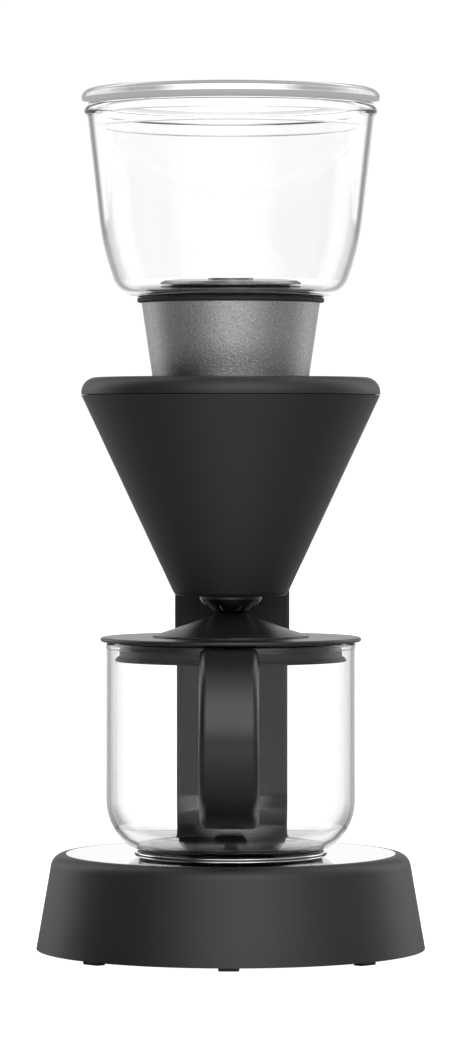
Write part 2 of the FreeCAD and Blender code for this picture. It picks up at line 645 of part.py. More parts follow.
def make_column_screws():
    """Pan-head screws: two up through the shelf and two through the rear cover."""
    body = new_body("column_screws")
    stands = mirrored("stand_x", "stand_y")
    pad(body, "XY_Plane", circles_at(stands, "screw_head"), "shelf_low - 2", "2")
    pad(body, "XY_Plane", circles_at(stands, "screw_r"), "shelf_low - 1", "13")
    pad(body, "XZ_Plane", circles_at(REAR_SCREWS, "screw_head"), "column_back", "1.6")
    pad(body, "XZ_Plane", circles_at(REAR_SCREWS, "screw_r"), "column_back - 12", "12.5")


# ---------------------------------------------------------------- switch
def make_switch_housing():
    """Snap-in switch body with a bezel and a well for the rocker."""
    body = new_body("switch_housing")
    top = "switch_z + switch_high / 2"
    low = "switch_z - switch_high / 2"
    pad(body, "XZ_Plane", [box("-switch_x", "switch_x", low, top)], "column_back - 15", "15")
    pad(body, "XZ_Plane", [box("-switch_x - 1.5", "switch_x + 1.5", f"{low} - 1.5", f"{top} + 1.5")],
        "column_back", "1.2")
    round_off(body, "0.8", lambda edge: edge.BoundBox.YMin > value("column_back") + 1.1)
    pocket(body, "XZ_Plane", [box("-rocker_x - 0.3", "rocker_x + 0.3", "switch_z - rocker_high / 2 - 0.5",
                                  "switch_z + rocker_high / 2 + 0.5")], "column_back - 10", "14")
    pocket(body, "YZ_Plane", [Circle("rocker_y", "switch_z", "rocker_pin + fit_gap")],
           "-switch_x + 0.5", "2 * switch_x - 1")
    pad(body, "XZ_Plane", both_sides("3", "3.8", "switch_z - 2.4", "switch_z + 2.4"),
        "column_back - 21", "7")


def make_switch_rocker():
    """Rocker on a pin, resting tilted to its off side."""
    body = new_body("switch_rocker")
    half = "rocker_high / 2"
    side = [("3.4", f"-{half}"), ("6", "0"), ("3.4", half), ("-2", f"{half} - 2.5"),
            ("-4", "0"), ("-2", f"-{half} + 2.5")]
    pad(body, "YZ_Plane", [side], "-rocker_x", "2 * rocker_x")
    pad(body, "YZ_Plane", [Circle("0", "0", "rocker_pin")], "-switch_x + 0.7", "2 * switch_x - 1.4")
    pivot = FreeCAD.Vector(0, value("rocker_y"), value("switch_z"))
    tilt = FreeCAD.Rotation(FreeCAD.Vector(1, 0, 0), value("rocker_tilt"))
    body.Placement = FreeCAD.Placement(pivot, tilt)


# ---------------------------------------------------------------- head
def head_profile():
    """Half section of the round part of the head."""
    return [("0", "head_low"), ("head_r", "head_low"), ("head_r", "head_top - head_round"),
            ("head_r - head_round", "head_top", "head_round", LEFT), ("0", "head_top")]


def rear_extension():
    return [("-column_x", "0"), ("column_x", "0"), ("column_x", "column_back - column_round"),
            ("column_x - column_round", "column_back", "column_round", LEFT),
            ("-column_x + column_round", "column_back"),
            ("-column_x", "column_back - column_round", "column_round", LEFT)]


def rail_section(half_stem, half_lip, top, neck, low):
    """An upside-down T, its lips between `neck` and `low`, mirrored to both sides of the middle."""
    figures = []
    for sign in (1, -1):
        points = [(f"rail_x - {half_lip}", low), (f"rail_x + {half_lip}", low),
                  (f"rail_x + {half_lip}", neck), (f"rail_x + {half_stem}", neck),
                  (f"rail_x + {half_stem}", top), (f"rail_x - {half_stem}", top),
                  (f"rail_x - {half_stem}", neck), (f"rail_x - {half_lip}", neck)]
        figures.append([(x if sign > 0 else f"-({x})", z) for x, z in points])
    return figures


DECK_UNDER = "cone_top - side_deck_thick"
LIP_LOW = f"{DECK_UNDER} - rail_gap - lip_thick"
COLLAR_SCREWS = [("0", "collar_screw_r"), ("-collar_screw_r * cos(30)", "-collar_screw_r / 2"),
                 ("collar_screw_r * cos(30)", "-collar_screw_r / 2")]
HEAD_SCREWS = four_ways("head_screw_r * cos(45)", "head_screw_r * cos(45)")


def make_head_housing():
    """Round cap with a tail over the column, T-rails for the filter holder and a bay for the ducts."""
    body = new_body("head_housing")
    pad(body, "XY_Plane", [rear_extension()], "head_low", "head_top - head_low")
    round_off(body, "head_round", lambda edge: edge.BoundBox.ZMin > value("head_top") - 0.01
              and edge.BoundBox.YMax > 1)
    spin(body, head_profile())
    rails = rail_section("(stem_wide / 2)", "(lip_wide / 2)", "head_low + 1",
                         f"{DECK_UNDER} - rail_gap", LIP_LOW)
    pad(body, "XZ_Plane", rails, "-rail_half", "2 * rail_half")
    roof = "head_top - head_roof - head_low"
    pocket(body, "XY_Plane", [Circle("0", "0", "bay_r")], "head_low - 1", f"{roof} + 1")
    pocket(body, "XY_Plane", [box("-22", "22", "40", "91")], "head_low - 1", f"{roof} + 1")
    pocket(body, "XY_Plane", [Circle("0", "0", "floor_r + 0.3")], "head_low - 1", "floor_thick + 1")
    pocket(body, "XY_Plane", [box("-25.3", "25.3", "40", "80.3")], "head_low - 1", "floor_thick + 1")
    pad(body, "XY_Plane", circles_at(HEAD_SCREWS, "4"), "head_low + floor_thick",
        f"{roof} - floor_thick + 0.5")
    pocket(body, "XY_Plane", circles_at(HEAD_SCREWS, "screw_r + fit_gap"), "head_low", "7.2")
    pocket(body, "XY_Plane", circles_at(COLLAR_SCREWS, "screw_r + 0.2"), "head_top - 4", "6")
    pocket(body, "XY_Plane", [Circle("-port_x", "feed_up_y", "barb_r + 0.2")], "head_top - 4", "6")
    tongues = both_sides("21.5", "column_x - column_wall - 0.2", "81.2",
                         "column_back - column_wall - 0.2")
    pad(body, "XY_Plane", tongues, "head_low - 12", "13")


def make_head_floor():
    """Underside plate of the head, open in the middle for the spray plate."""
    body = new_body("head_floor")
    pad(body, "XY_Plane", [Circle("0", "0", "floor_r")], "head_low", "floor_thick")
    pad(body, "XY_Plane", [box("-25", "25", "40", "80")], "head_low", "floor_thick")
    pocket(body, "XY_Plane", [Circle("0", "0", "spray_r + 0.2")], "head_low - 1", "floor_thick + 2")
    pocket(body, "XY_Plane", circles_at(HEAD_SCREWS, "screw_head"), "head_low - 1", "floor_thick + 2")


def make_spray_plate():
    """Stainless spray plate with rings of small holes."""
    body = new_body("spray_plate")
    spin(body, box("0", "spray_r", "head_low", "head_low + spray_thick"))
    for ring, count in enumerate((6, 12, 18), start=1):
        hole = pocket(body, "XY_Plane", [Circle(f"{ring} * spray_pitch", "0", "spray_hole")],
                      "head_low - 1", "spray_thick + 2")
        repeat_round(body, hole, str(count))


def make_duct(label, x, y_from, chamber):
    """Flat duct under the head's roof with a barb down into the column."""
    body = new_body(label)
    low = "(head_low + floor_thick + 0.1)"
    high = "(head_top - head_roof - 0.1)"
    tall = f"{high} - {low}"
    pad(body, "XY_Plane", [box(f"{x} - duct_wide / 2", f"{x} + duct_wide / 2", y_from, "riser_y + 4.4")],
        low, tall)
    if chamber:
        pad(body, "XY_Plane", [Circle("0", "0", "chamber_r")], low, tall)
        pocket(body, "XY_Plane", [Circle("0", "0", "chamber_r - 1.2")], f"{low} - 1",
               f"{tall} + 1 - duct_wall")
    else:
        pad(body, "XY_Plane", [Circle(x, "feed_up_y", "barb_r")], low, f"{tall} + 9")
        pocket(body, "XY_Plane", [Circle(x, "feed_up_y", "barb_bore")], f"{low} + duct_wall", f"{tall} + 9")
    inner_y = y_from if chamber else f"{y_from} + duct_wall"
    pocket(body, "XY_Plane", [box(f"{x} - duct_wide / 2 + duct_wall", f"{x} + duct_wide / 2 - duct_wall",
                                  inner_y, "riser_y + 3.4")], f"{low} + duct_wall",
           f"{tall} - 2 * duct_wall")
    pad(body, "XY_Plane", [Circle(x, "riser_y", "barb_r"), Circle(x, "riser_y", "barb_bore")],
        "head_low - 14", f"14 + floor_thick + 0.1 + duct_wall / 2")
    pocket(body, "XY_Plane", [Circle(x, "riser_y", "barb_bore")], f"{low} - 1", "2.5")


def make_head_screws():
    """Screws that hold the floor to the head and the collar to the head's roof."""
    body = new_body("head_screws")
    pad(body, "XY_Plane", circles_at(HEAD_SCREWS, "screw_head - 0.2"), "head_low", "floor_thick - 0.1")
    pad(body, "XY_Plane", circles_at(HEAD_SCREWS, "screw_r"), "head_low + 1", "5.6")
    pad(body, "XY_Plane", circles_at(COLLAR_SCREWS, "screw_head"), "head_top - head_roof - 2.2", "2.2")
    pad(body, "XY_Plane", circles_at(COLLAR_SCREWS, "screw_r"), "head_top - head_roof - 1", "7")


# ---------------------------------------------------------------- collar
def collar_outer(height):
    return (f"collar_low + (collar_high - collar_low) * ({height} - head_top)"
            " / (collar_top - head_top)")


def make_collar():
    """Flared aluminium collar with a screwed foot inside and a ledge for the socket deck."""
    body = new_body("collar")
    ledge = "deck_z - 3"
    spin(body, [
        ("27", "head_top"), ("collar_low", "head_top"), ("collar_high", "collar_top"),
        ("collar_high - collar_wall", "collar_top"), (collar_outer("deck_z") + " - collar_wall", "deck_z"),
        ("deck_r - 4", "deck_z"), ("deck_r - 4", ledge), (collar_outer(ledge) + " - collar_wall", ledge),
        (collar_outer("head_top + 3.5") + " - collar_wall", "head_top + 3.5"), ("27", "head_top + 3.5"),
    ])
    pocket(body, "XY_Plane", circles_at(COLLAR_SCREWS, "screw_r + fit_gap"), "head_top - 1", "5")
    pocket(body, "XY_Plane", [Circle("-port_x", "feed_up_y", "hose_r + 0.6")], "head_top - 1", "6")


def make_collar_seal():
    """Soft ring on the collar's rim that the tank sits on."""
    body = new_body("collar_seal")
    inner = "collar_high - collar_wall + 0.4"
    spin(body, [(inner, "collar_top"), ("ring_seal_r - 0.8", "collar_top"),
                ("ring_seal_r", "collar_top + 0.8", "0.8", LEFT), ("ring_seal_r", "ring_seal_top - 0.8"),
                ("ring_seal_r - 0.8", "ring_seal_top", "0.8", LEFT), (inner, "ring_seal_top")])


def face_feed(body):
    """Turns a piece that was built towards +X to face the feed duct's upright barb."""
    way = FreeCAD.Vector(-value("port_x"), value("feed_up_y"), 0)
    turn = FreeCAD.Rotation(FreeCAD.Vector(1, 0, 0), way)
    body.Placement = FreeCAD.Placement(FreeCAD.Vector(), turn)


def make_tank_socket():
    """Deck inside the collar with the cup that takes the tank's spigot and the pin that opens it."""
    body = new_body("tank_socket")
    floor = "socket_low + 2"
    spin(body, [
        ("0", "socket_low"), ("socket_r", "socket_low"), ("socket_r", "deck_z"), ("deck_r", "deck_z"),
        ("deck_r", "deck_z + deck_thick"), ("socket_bore", "deck_z + deck_thick"),
        ("socket_bore", floor), ("pin_r", floor), ("pin_r", "pin_top - 0.6"),
        ("pin_r - 0.6", "pin_top"), ("0", "pin_top"),
    ])
    groove(body, box("spigot_r + 0.5", "socket_bore + 1.6", "deck_z - 5", "deck_z - 2.6"))
    pad(body, "YZ_Plane", [Circle("0", "side_barb_z", "barb_r")], "socket_r - 0.5", "9")
    pocket(body, "YZ_Plane", [Circle("0", "side_barb_z", "barb_bore")], "pin_r + 2", "30")
    face_feed(body)


def make_socket_oring():
    """O-ring in the socket's groove, round the spigot."""
    body = new_body("socket_oring")
    spin(body, [("spigot_r + 0.08", "deck_z - 4.4"), ("socket_bore + 1.5", "deck_z - 4.4"),
                ("socket_bore + 1.5", "deck_z - 3.2"), ("spigot_r + 0.08", "deck_z - 3.2")])


def make_socket_hose():
    """Short hose inside the collar from the socket's side barb down to the feed duct."""
    body = new_body("socket_hose")
    reach = "sqrt(port_x ^ 2 + feed_up_y ^ 2)"
    bend = "10"
    path = sketch_on(body, "XZ_Plane", [])
    draw_outline(path, [("socket_r + 2", "side_barb_z"), (f"{reach} - {bend}", "side_barb_z"),
                        (reach, f"side_barb_z - {bend}", bend, RIGHT), (reach, "head_top + 0.8")],
                 closed=False)
    rings = [Circle("0", "side_barb_z", "hose_r"), Circle("0", "side_barb_z", "hose_bore")]
    sweep(body, sketch_on(body, "YZ_Plane", rings, "socket_r + 2"), path)
    face_feed(body)


# ---------------------------------------------------------------- tank
def glass_wall(foot_z, belly, heel, turn, flare, waist, inset):
    """Corners from the foot up to where the straight wall starts, moved inwards by `inset`."""
    mid_r = f"({waist} - {belly} * (cos({flare}) - cos({turn})))"
    mid_z = f"({foot_z} + {heel} * (1 - sin({turn})))"
    foot_r = f"({mid_r} - {heel} * cos({turn}))"
    waist_z = f"({mid_z} + {belly} * (sin({turn}) - sin({flare})))"
    return [
        (foot_r, f"{foot_z} + {inset}"),
        (f"{mid_r} - {inset} * cos({turn})", f"{mid_z} + {inset} * sin({turn})", f"{heel} - {inset}"),
        (f"{waist} - {inset} * cos({flare})", f"{waist_z} + {inset} * sin({flare})",
         f"{belly} - {inset}"),
    ]


def rising(corners):
    """The corners in order, arcs bowing outwards on the way up."""
    return [corner if len(corner) == 2 else (*corner, LEFT) for corner in corners]


def falling(corners):
    """The corners in reverse order, each arc's radius moved to the corner that it now ends at."""
    backwards = []
    radius = None
    for corner in reversed(corners):
        point = corner[:2]
        backwards.append(point if radius is None else (*point, radius, RIGHT))
        radius = corner[2] if len(corner) == 3 else None
    return backwards


def tank_wall(inset):
    return glass_wall("tank_low", "tank_belly", "tank_heel", "tank_turn", "tank_flare", "tank_waist", inset)


TANK_WAIST_Z = ("(tank_low + tank_heel * (1 - sin(tank_turn))"
                " + tank_belly * (sin(tank_turn) - sin(tank_flare)))")
TANK_RIM_R = f"(tank_waist + (tank_rim_z - {TANK_WAIST_Z}) * tan(tank_flare))"


def make_tank_bowl():
    """Thick glass bowl with a hole in its flat bottom and a rolled rim."""
    body = new_body("tank_bowl")
    wall = "tank_wall"
    spin(body, [
        ("tank_hole", "tank_low"), *rising(tank_wall("0")), (TANK_RIM_R, "tank_rim_z"),
        (f"{TANK_RIM_R} - 0.9", "tank_rim_z + 5", "bead_r", LEFT),
        (f"{TANK_RIM_R} - {wall}", "tank_rim_z + 3.1", "2.4", LEFT),
        *falling(tank_wall(wall)), ("tank_hole", f"tank_low + {wall}"),
    ])


def make_tank_gasket():
    """Soft washer between the glass and the outlet plate."""
    body = new_body("tank_gasket")
    low = "tank_low + tank_wall"
    spin(body, box("tank_hole + 0.3", "outlet_r - 6", low, f"{low} + gasket_thick"))


def make_tank_outlet_plate():
    """Bevelled steel disc on the tank's floor."""
    body = new_body("tank_outlet_plate")
    low = "tank_low + tank_wall + gasket_thick"
    spin(body, [("spigot_r + 0.1", low), ("outlet_r", low), ("outlet_r", "outlet_top - outlet_bevel"),
                ("outlet_r - outlet_bevel", "outlet_top"), ("spigot_r + 0.1", "outlet_top")])


def make_tank_outlet_body():
    """Spigot through the glass, with a valve seat at its foot and a three-armed stem guide."""
    body = new_body("tank_outlet_body")
    seat = "spigot_low + 2"
    spin(body, [
        ("4", "spigot_low"), ("spigot_r - 0.6", "spigot_low"), ("spigot_r", "spigot_low + 0.6"),
        ("spigot_r", "outlet_top"), ("cap_r - 1.2", "outlet_top"), ("cap_r - 1.2", "outlet_top + 0.9"),
        ("spigot_bore", "outlet_top + 0.9"), ("spigot_bore", seat), ("4", seat),
    ])
    pad(body, "XY_Plane", [Circle("0", "0", "stem_r + 1.7"), Circle("0", "0", "stem_r + 0.3")],
        "guide_z", "guide_thick")
    arm = pad(body, "XY_Plane", [box("stem_r + 1.3", "spigot_bore + 0.5", "-0.7", "0.7")],
              "guide_z", "guide_thick")
    repeat_round(body, arm, "3")


def make_tank_outlet_cap():
    """Small strainer cap over the outlet."""
    body = new_body("tank_outlet_cap")
    low = "outlet_top + 0.9"
    spin(body, [("cap_r - 1.1", "outlet_top"), ("cap_r", "outlet_top"),
                ("cap_r", "outlet_top + cap_thick - 0.6"),
                ("cap_r - 0.6", "outlet_top + cap_thick", "0.6", LEFT), ("0", "outlet_top + cap_thick"),
                ("0", f"{low} + 0.1"), ("cap_r - 1.1", f"{low} + 0.1")])
    slot = pocket(body, "XY_Plane", [box("3", "9", "-0.7", "0.7")], "outlet_top", "5")
    repeat_round(body, slot, "8")


def make_tank_nut():
    """Flanged nut that pulls the outlet up against the glass."""
    body = new_body("tank_nut")
    top = "tank_low - 0.02"
    spin(body, [("spigot_r + 0.1", f"{top} - nut_thick"), ("nut_r - 9", f"{top} - nut_thick"),
                ("nut_r - 9", f"{top} - 1.4"), ("nut_r", f"{top} - 1.4"), ("nut_r", top),
                ("spigot_r + 0.1", top)])
    notch = pocket(body, "XY_Plane", [box("nut_r - 10.4", "nut_r - 8", "-1.5", "1.5")],
                   f"{top} - nut_thick - 1", "3")
    repeat_round(body, notch, "12")


def make_tank_valve_poppet():
    """Poppet and stem that the pin in the collar holds off its seat."""
    body = new_body("tank_valve_poppet")
    spin(body, [("0", "poppet_low"), ("poppet_r - 1", "poppet_low"), ("poppet_r", "poppet_low + 1"),
                ("poppet_r", "poppet_low + 2"), ("stem_r", "poppet_low + 2.8"), ("stem_r", "stem_top"),
                ("0", "stem_top")])


def make_spring(label, radius, low, high, turns):
    """Helical wire spring about the Z axis between two heights."""
    spring = doc.addObject("Part::Feature", label)
    spring.Label = label
    wire = value("spring_wire")
    rise = value(high) - value(low) - 2 * wire
    coil = Part.makeHelix(rise / turns, rise, value(radius))
    coil.translate(FreeCAD.Vector(0, 0, value(low) + wire))
    start = FreeCAD.Vector(value(radius), 0, value(low) + wire)
    section = Part.Wire(Part.makeCircle(wire, start, FreeCAD.Vector(0, 1, 0)))
    spring.Shape = Part.Wire(coil.Edges).makePipeShell([section], True, True)
    pieces.append(spring)


def make_tank_lid():
    """Glass lid: a flat pane in a fat rolled bead, with a plug ring below."""
    body = new_body("tank_lid")
    middle_r = "(lid_r - lid_bead)"
    middle_z = "(lid_low + lid_bead)"
    meet_z = f"{middle_z} - sqrt(lid_bead ^ 2 - (lid_plug - {middle_r}) ^ 2)"
    meet_r = f"{middle_r} - sqrt(lid_bead ^ 2 - (lid_top - {middle_z}) ^ 2)"
    plug_in = "(lid_plug - lid_plug_wall)"
    half = "lid_plug_wall / 2"
    spin(body, [
        ("0", "lid_top - lid_thick"), (f"{plug_in} - 1.5", "lid_top - lid_thick"),
        (plug_in, "lid_top - lid_thick - 1.5", "1.5", RIGHT), (plug_in, f"lid_plug_low + {half}"),
        (f"{plug_in} + {half}", "lid_plug_low", half, LEFT),
        ("lid_plug", f"lid_plug_low + {half}", half, LEFT), ("lid_plug", meet_z),
        ("lid_r", middle_z, "lid_bead", LEFT), (middle_r, f"{middle_z} + lid_bead", "lid_bead", LEFT),
        (meet_r, "lid_top", "lid_bead", LEFT), ("0", "lid_top"),
    ])


# ---------------------------------------------------------------- filter holder
def make_filter_cone():
    """Conical holder with a threaded boss below and side decks that hang on the head's T-rails."""
    body = new_body("filter_cone")
    outer_low = CONE_OUTER.format("cone_low")
    floor = "cone_low + cone_floor"
    spin(body, [
        ("outlet_hole", "cone_low - 3.8"), ("boss_ring", "cone_low - 3.8"), ("boss_ring", "cone_low"),
        (outer_low, "cone_low"), ("cone_r", "cone_top"), ("cone_r - cone_wall", "cone_top"),
        (CONE_OUTER.format(floor) + " - cone_wall", floor), ("outlet_hole", floor),
    ])
    round_off(body, "cone_round", ring_edge(outer_low, "cone_low"))
    deck_r = "cone_r - 1.2"
    deck_y = f"sqrt(({deck_r}) ^ 2 - side_deck_x ^ 2)"
    decks = [[("side_deck_x", f"-({deck_y})"), ("side_deck_x", deck_y, deck_r, LEFT)],
             [("-side_deck_x", deck_y), ("-side_deck_x", f"-({deck_y})", deck_r, LEFT)]]
    pad(body, "XY_Plane", decks, DECK_UNDER, "side_deck_thick")
    channels = rail_section("(stem_wide / 2 + rail_gap)", "(lip_wide / 2 + rail_gap)", "cone_top + 1",
                            DECK_UNDER, f"{LIP_LOW} - rail_gap")
    pocket(body, "XZ_Plane", channels, "-rail_half - rail_gap", "rail_half + head_r")


def make_filter_basket():
    """Ribbed inner basket for the paper filter."""
    body = new_body("filter_basket")
    gap = " - cone_wall - basket_gap"
    inner = gap + " - basket_wall"
    floor = "basket_low + basket_wall"
    spin(body, [("9", "basket_low"), (CONE_OUTER.format("basket_low") + gap, "basket_low"),
                (CONE_OUTER.format("basket_top") + gap, "basket_top"),
                (CONE_OUTER.format("basket_top") + inner, "basket_top"),
                (CONE_OUTER.format(floor) + inner, floor), ("9", floor)])
    low_r = CONE_OUTER.format(floor) + inner
    high_r = CONE_OUTER.format("basket_top") + inner
    rib = body.newObject("PartDesign::Pad", "rib")
    rib.Profile = sketch_on(body, "XZ_Plane", [[
        (f"{low_r} - 1.4", floor), (f"{low_r} + 0.6", floor), (f"{high_r} + 0.6", "basket_top"),
        (f"{high_r} - 1.4", "basket_top - 3")]])
    bind(rib, "Length", "1.2")
    rib.Midplane = True
    repeat_round(body, rib, "rib_count")


def make_drip_dome():
    """Glossy slotted dome, screwed to the boss under the cone."""
    body = new_body("drip_dome")
    low_r = "sqrt(dome_r ^ 2 - (dome_z - dome_low) ^ 2)"
    side_z = "dome_z - sqrt(dome_r ^ 2 - dome_side ^ 2)"
    bore = "boss_ring + 0.2"
    spin(body, [
        ("plunger_r + 1", "dome_low"), (low_r, "dome_low"), ("dome_side", side_z, "dome_r", LEFT),
        ("dome_side", "cone_low - 0.1"), (bore, "cone_low - 0.1"), (bore, "dome_low + 4.4"),
        ("6.5", "dome_low + dome_floor"),
        ("plunger_r + 1", "dome_low + dome_floor"),
    ])
    slot = pocket(body, "XZ_Plane", [box("-0.8", "0.8", "dome_low - 1", "dome_low + 4.6")],
                  "4.6", "15.4")
    repeat_round(body, slot, "dome_slots")
    turn = FreeCAD.Rotation(FreeCAD.Vector(0, 0, 1), 180 / value("dome_slots"))
    body.Placement = FreeCAD.Placement(FreeCAD.Vector(), turn)


def make_drip_seal():
    """Silicone seat in the cone's outlet."""
    body = new_body("drip_seal")
    low = "cone_low + 0.2"
    top = "cone_low + cone_floor"
    spin(body, [("seat_bore", low), ("outlet_hole - fit_gap", low), ("outlet_hole - fit_gap", top),
                ("seat_bore + 0.8", top), ("seat_bore", f"{top} - 0.8")])


def make_drip_plunger():
    """Plunger that the carafe lid pushes up to let the coffee through."""
    body = new_body("drip_plunger")
    flange = "plunger_flange_z"
    spin(body, [
        ("0", "plunger_low"), ("plunger_r - 0.7", "plunger_low"),
        ("plunger_r", "plunger_low + 0.7", "0.7", LEFT), ("plunger_r", flange),
        ("plunger_flange", flange), ("plunger_flange", f"{flange} + 1"), ("plunger_r", f"{flange} + 1"),
        ("plunger_r", "plunger_seat - 1.5"), ("plunger_r + 1.5", "plunger_seat"),
        ("plunger_head", "plunger_seat"), ("plunger_head", "plunger_seat + 1.2"),
        ("0", "plunger_seat + 2.6"),
    ])


# ---------------------------------------------------------------- carafe
CARAFE_WAIST_Z = ("(carafe_low + carafe_heel * (1 - sin(carafe_turn))"
                  " + carafe_belly * sin(carafe_turn))")


def carafe_wall(inset):
    return glass_wall("carafe_low", "carafe_belly", "carafe_heel", "carafe_turn", "0", "carafe_r", inset)


def make_carafe_glass():
    """Glass jug: round heel, straight wall, small rolled rim and a bottom raised in the middle."""
    body = new_body("carafe_glass")
    rim = "carafe_top - 2 * carafe_bead"
    spin(body, [
        ("0", "carafe_low + raise"), ("raise_r", "carafe_low + raise - 0.2"), ("stand_ring_r", "carafe_low"),
        *rising(carafe_wall("0")), ("carafe_r", rim),
        ("carafe_r - 0.9", "carafe_top", "carafe_bead + 0.9", LEFT),
        ("carafe_r - carafe_wall", "carafe_top - 1.4", "1.5", LEFT),
        *falling(carafe_wall("carafe_wall")), ("raise_r", "carafe_low + carafe_wall + raise - 0.4"),
        ("0", "carafe_low + carafe_wall + raise - 0.2"),
    ])


def make_carafe_handle():
    """Broad strap handle, a half ring in side view, hollowed to the glass at both ends."""
    body = new_body("carafe_handle")
    centre_y = "-(handle_y - handle_r)"
    end_y = "-(carafe_r - 1)"
    reach = "(handle_y - handle_r - carafe_r + 1)"
    outer = f"sqrt(handle_r ^ 2 - {reach} ^ 2)"
    inner_r = "(handle_r - handle_thick)"
    inner = f"sqrt({inner_r} ^ 2 - {reach} ^ 2)"
    tip = "-handle_y"
    section = [
        (end_y, f"handle_z + {outer}"), (tip, "handle_z", "handle_r", LEFT),
        (end_y, f"handle_z - {outer}", "handle_r", LEFT), (end_y, f"handle_z - {inner}"),
        (f"{tip} + handle_thick", "handle_z", inner_r, RIGHT),
        (end_y, f"handle_z + {inner}", inner_r, RIGHT),
    ]
    pad(body, "YZ_Plane", [section], "-handle_wide / 2", "handle_wide")
    radii = (value("handle_r"), value(inner_r))
    round_off(body, "handle_round", lambda edge: isinstance(edge.Curve, Part.Circle)
              and min(abs(edge.Curve.Radius - radius) for radius in radii) < 0.01)
    hollow = "carafe_r + pad_thick + 0.1"
    mid_r, mid_z = carafe_wall("-(pad_thick + 0.1)")[1][:2]
    groove(body, [("30", mid_z), (mid_r, mid_z),
                  (hollow, CARAFE_WAIST_Z, "carafe_belly + pad_thick + 0.1", LEFT),
                  (hollow, "carafe_top + 5"), ("30", "carafe_top + 5")])


def make_handle_pads():
    """Two thin bonding pads between the strap and the glass."""
    body = new_body("handle_pads")
    outer = "carafe_r + pad_thick"
    spin(body, box("carafe_r + fit_gap", outer, "pad_low", "pad_high"), "pad_turn")
    low = f"{CARAFE_WAIST_Z} - pad_fall"
    edge = "{0} - carafe_belly + sqrt(({1}) ^ 2 - pad_fall ^ 2)"
    spin(body, [
        (edge.format("carafe_r", "carafe_belly + pad_thick"), low),
        (outer, CARAFE_WAIST_Z, "carafe_belly + pad_thick", LEFT),
        ("carafe_r + fit_gap", CARAFE_WAIST_Z),
        (edge.format("carafe_r", "carafe_belly + fit_gap"), low, "carafe_belly + fit_gap", RIGHT),
    ], "pad_turn")
    face_front(body)


# ---------------------------------------------------------------- carafe lid
def make_carafe_lid_disc():
    """Outer ring of the carafe's lid, with a step for the insert."""
    body = new_body("carafe_lid_disc")
    top = "disc_low + disc_thick"
    half = "disc_thick / 2"
    spin(body, [
        ("insert_r - 2.5", "disc_low"), (f"disc_r - {half}", "disc_low"),
        ("disc_r", f"disc_low + {half}", half, LEFT), (f"disc_r - {half}", top, half, LEFT),
        ("insert_r + 0.15", top), ("insert_r + 0.15", "disc_low + 1.2"), ("insert_r - 2.5", "disc_low + 1.2"),
    ])


def make_carafe_lid_funnel():
    """Trumpet-shaped insert with a neck that leads the coffee in, and a bar across its mouth."""
    body = new_body("carafe_lid_funnel")
    ring_r = "mouth_r + mouth_wall"
    spin(body, [
        ("mouth_r", "neck_low"), ("mouth_r + 1.8", "neck_low"), ("mouth_r + 1.8", "mouth_top - 5.5"),
        ("insert_r - 3", "insert_top - 1.6"), ("insert_r - 2", "disc_low + 1.25"),
        ("insert_r", "disc_low + 1.25"), ("insert_r", "insert_top - 0.6"),
        ("insert_r - 0.6", "insert_top", "0.6", LEFT),
        (f"{ring_r} + 0.6", "mouth_top - 0.7", "trumpet_r", RIGHT),
        (f"{ring_r} - 0.6", "mouth_top"), ("mouth_r", "mouth_top"),
    ])
    pad(body, "XY_Plane", [box("-mouth_r - 0.8", "mouth_r + 0.8", "-0.8", "0.8")], "mouth_top - 3", "3")


def make_carafe_lid_plug():
    """Ring under the lid that drops into the glass."""
    body = new_body("carafe_lid_plug")
    top = "disc_low - 0.02"
    spin(body, [("insert_r + 4", f"{top} - 1.6"), ("plug_r - plug_wall", f"{top} - 1.6"),
                ("plug_r - plug_wall", "plug_low"), ("plug_r", "plug_low"), ("plug_r", top),
                ("insert_r + 4", top)])


def make_lid_gasket():
    """Soft lip under the plug ring."""
    body = new_body("lid_gasket")
    top = "plug_low - 0.02"
    spin(body, [("plug_r - plug_wall", "lip_low"), ("lip_r - 0.8", "lip_low"),
                ("lip_r", "lip_low + 0.8", "0.8", LEFT), ("lip_r - 1.2", top), ("plug_r - plug_wall", top)])


# ---------------------------------------------------------------- build, check and write
def check_all():
    """Stops if any object failed or any piece has no valid shape."""
    doc.recompute()
    for thing in doc.Objects:
        if {"Invalid", "Error"} & set(thing.State):
            owner = thing.getParentGeoFeatureGroup()
            raise RuntimeError(f"{owner.Label if owner else 'document'}: {thing.Label} is "
                               f"{thing.State} {thing.getStatusString()}")
    for piece in pieces:
        if piece.Shape.isNull() or not piece.Shape.isValid():
            raise RuntimeError(f"{piece.Label} has no valid shape")


def write_all():
    os.makedirs("parts", exist_ok=True)
    for piece in pieces:
        piece.Shape.exportStep(f"parts/{piece.Label}.step")
        print(f"{piece.Label:22s} solids {len(piece.Shape.Solids)} volume {piece.Shape.Volume:10.0f}")


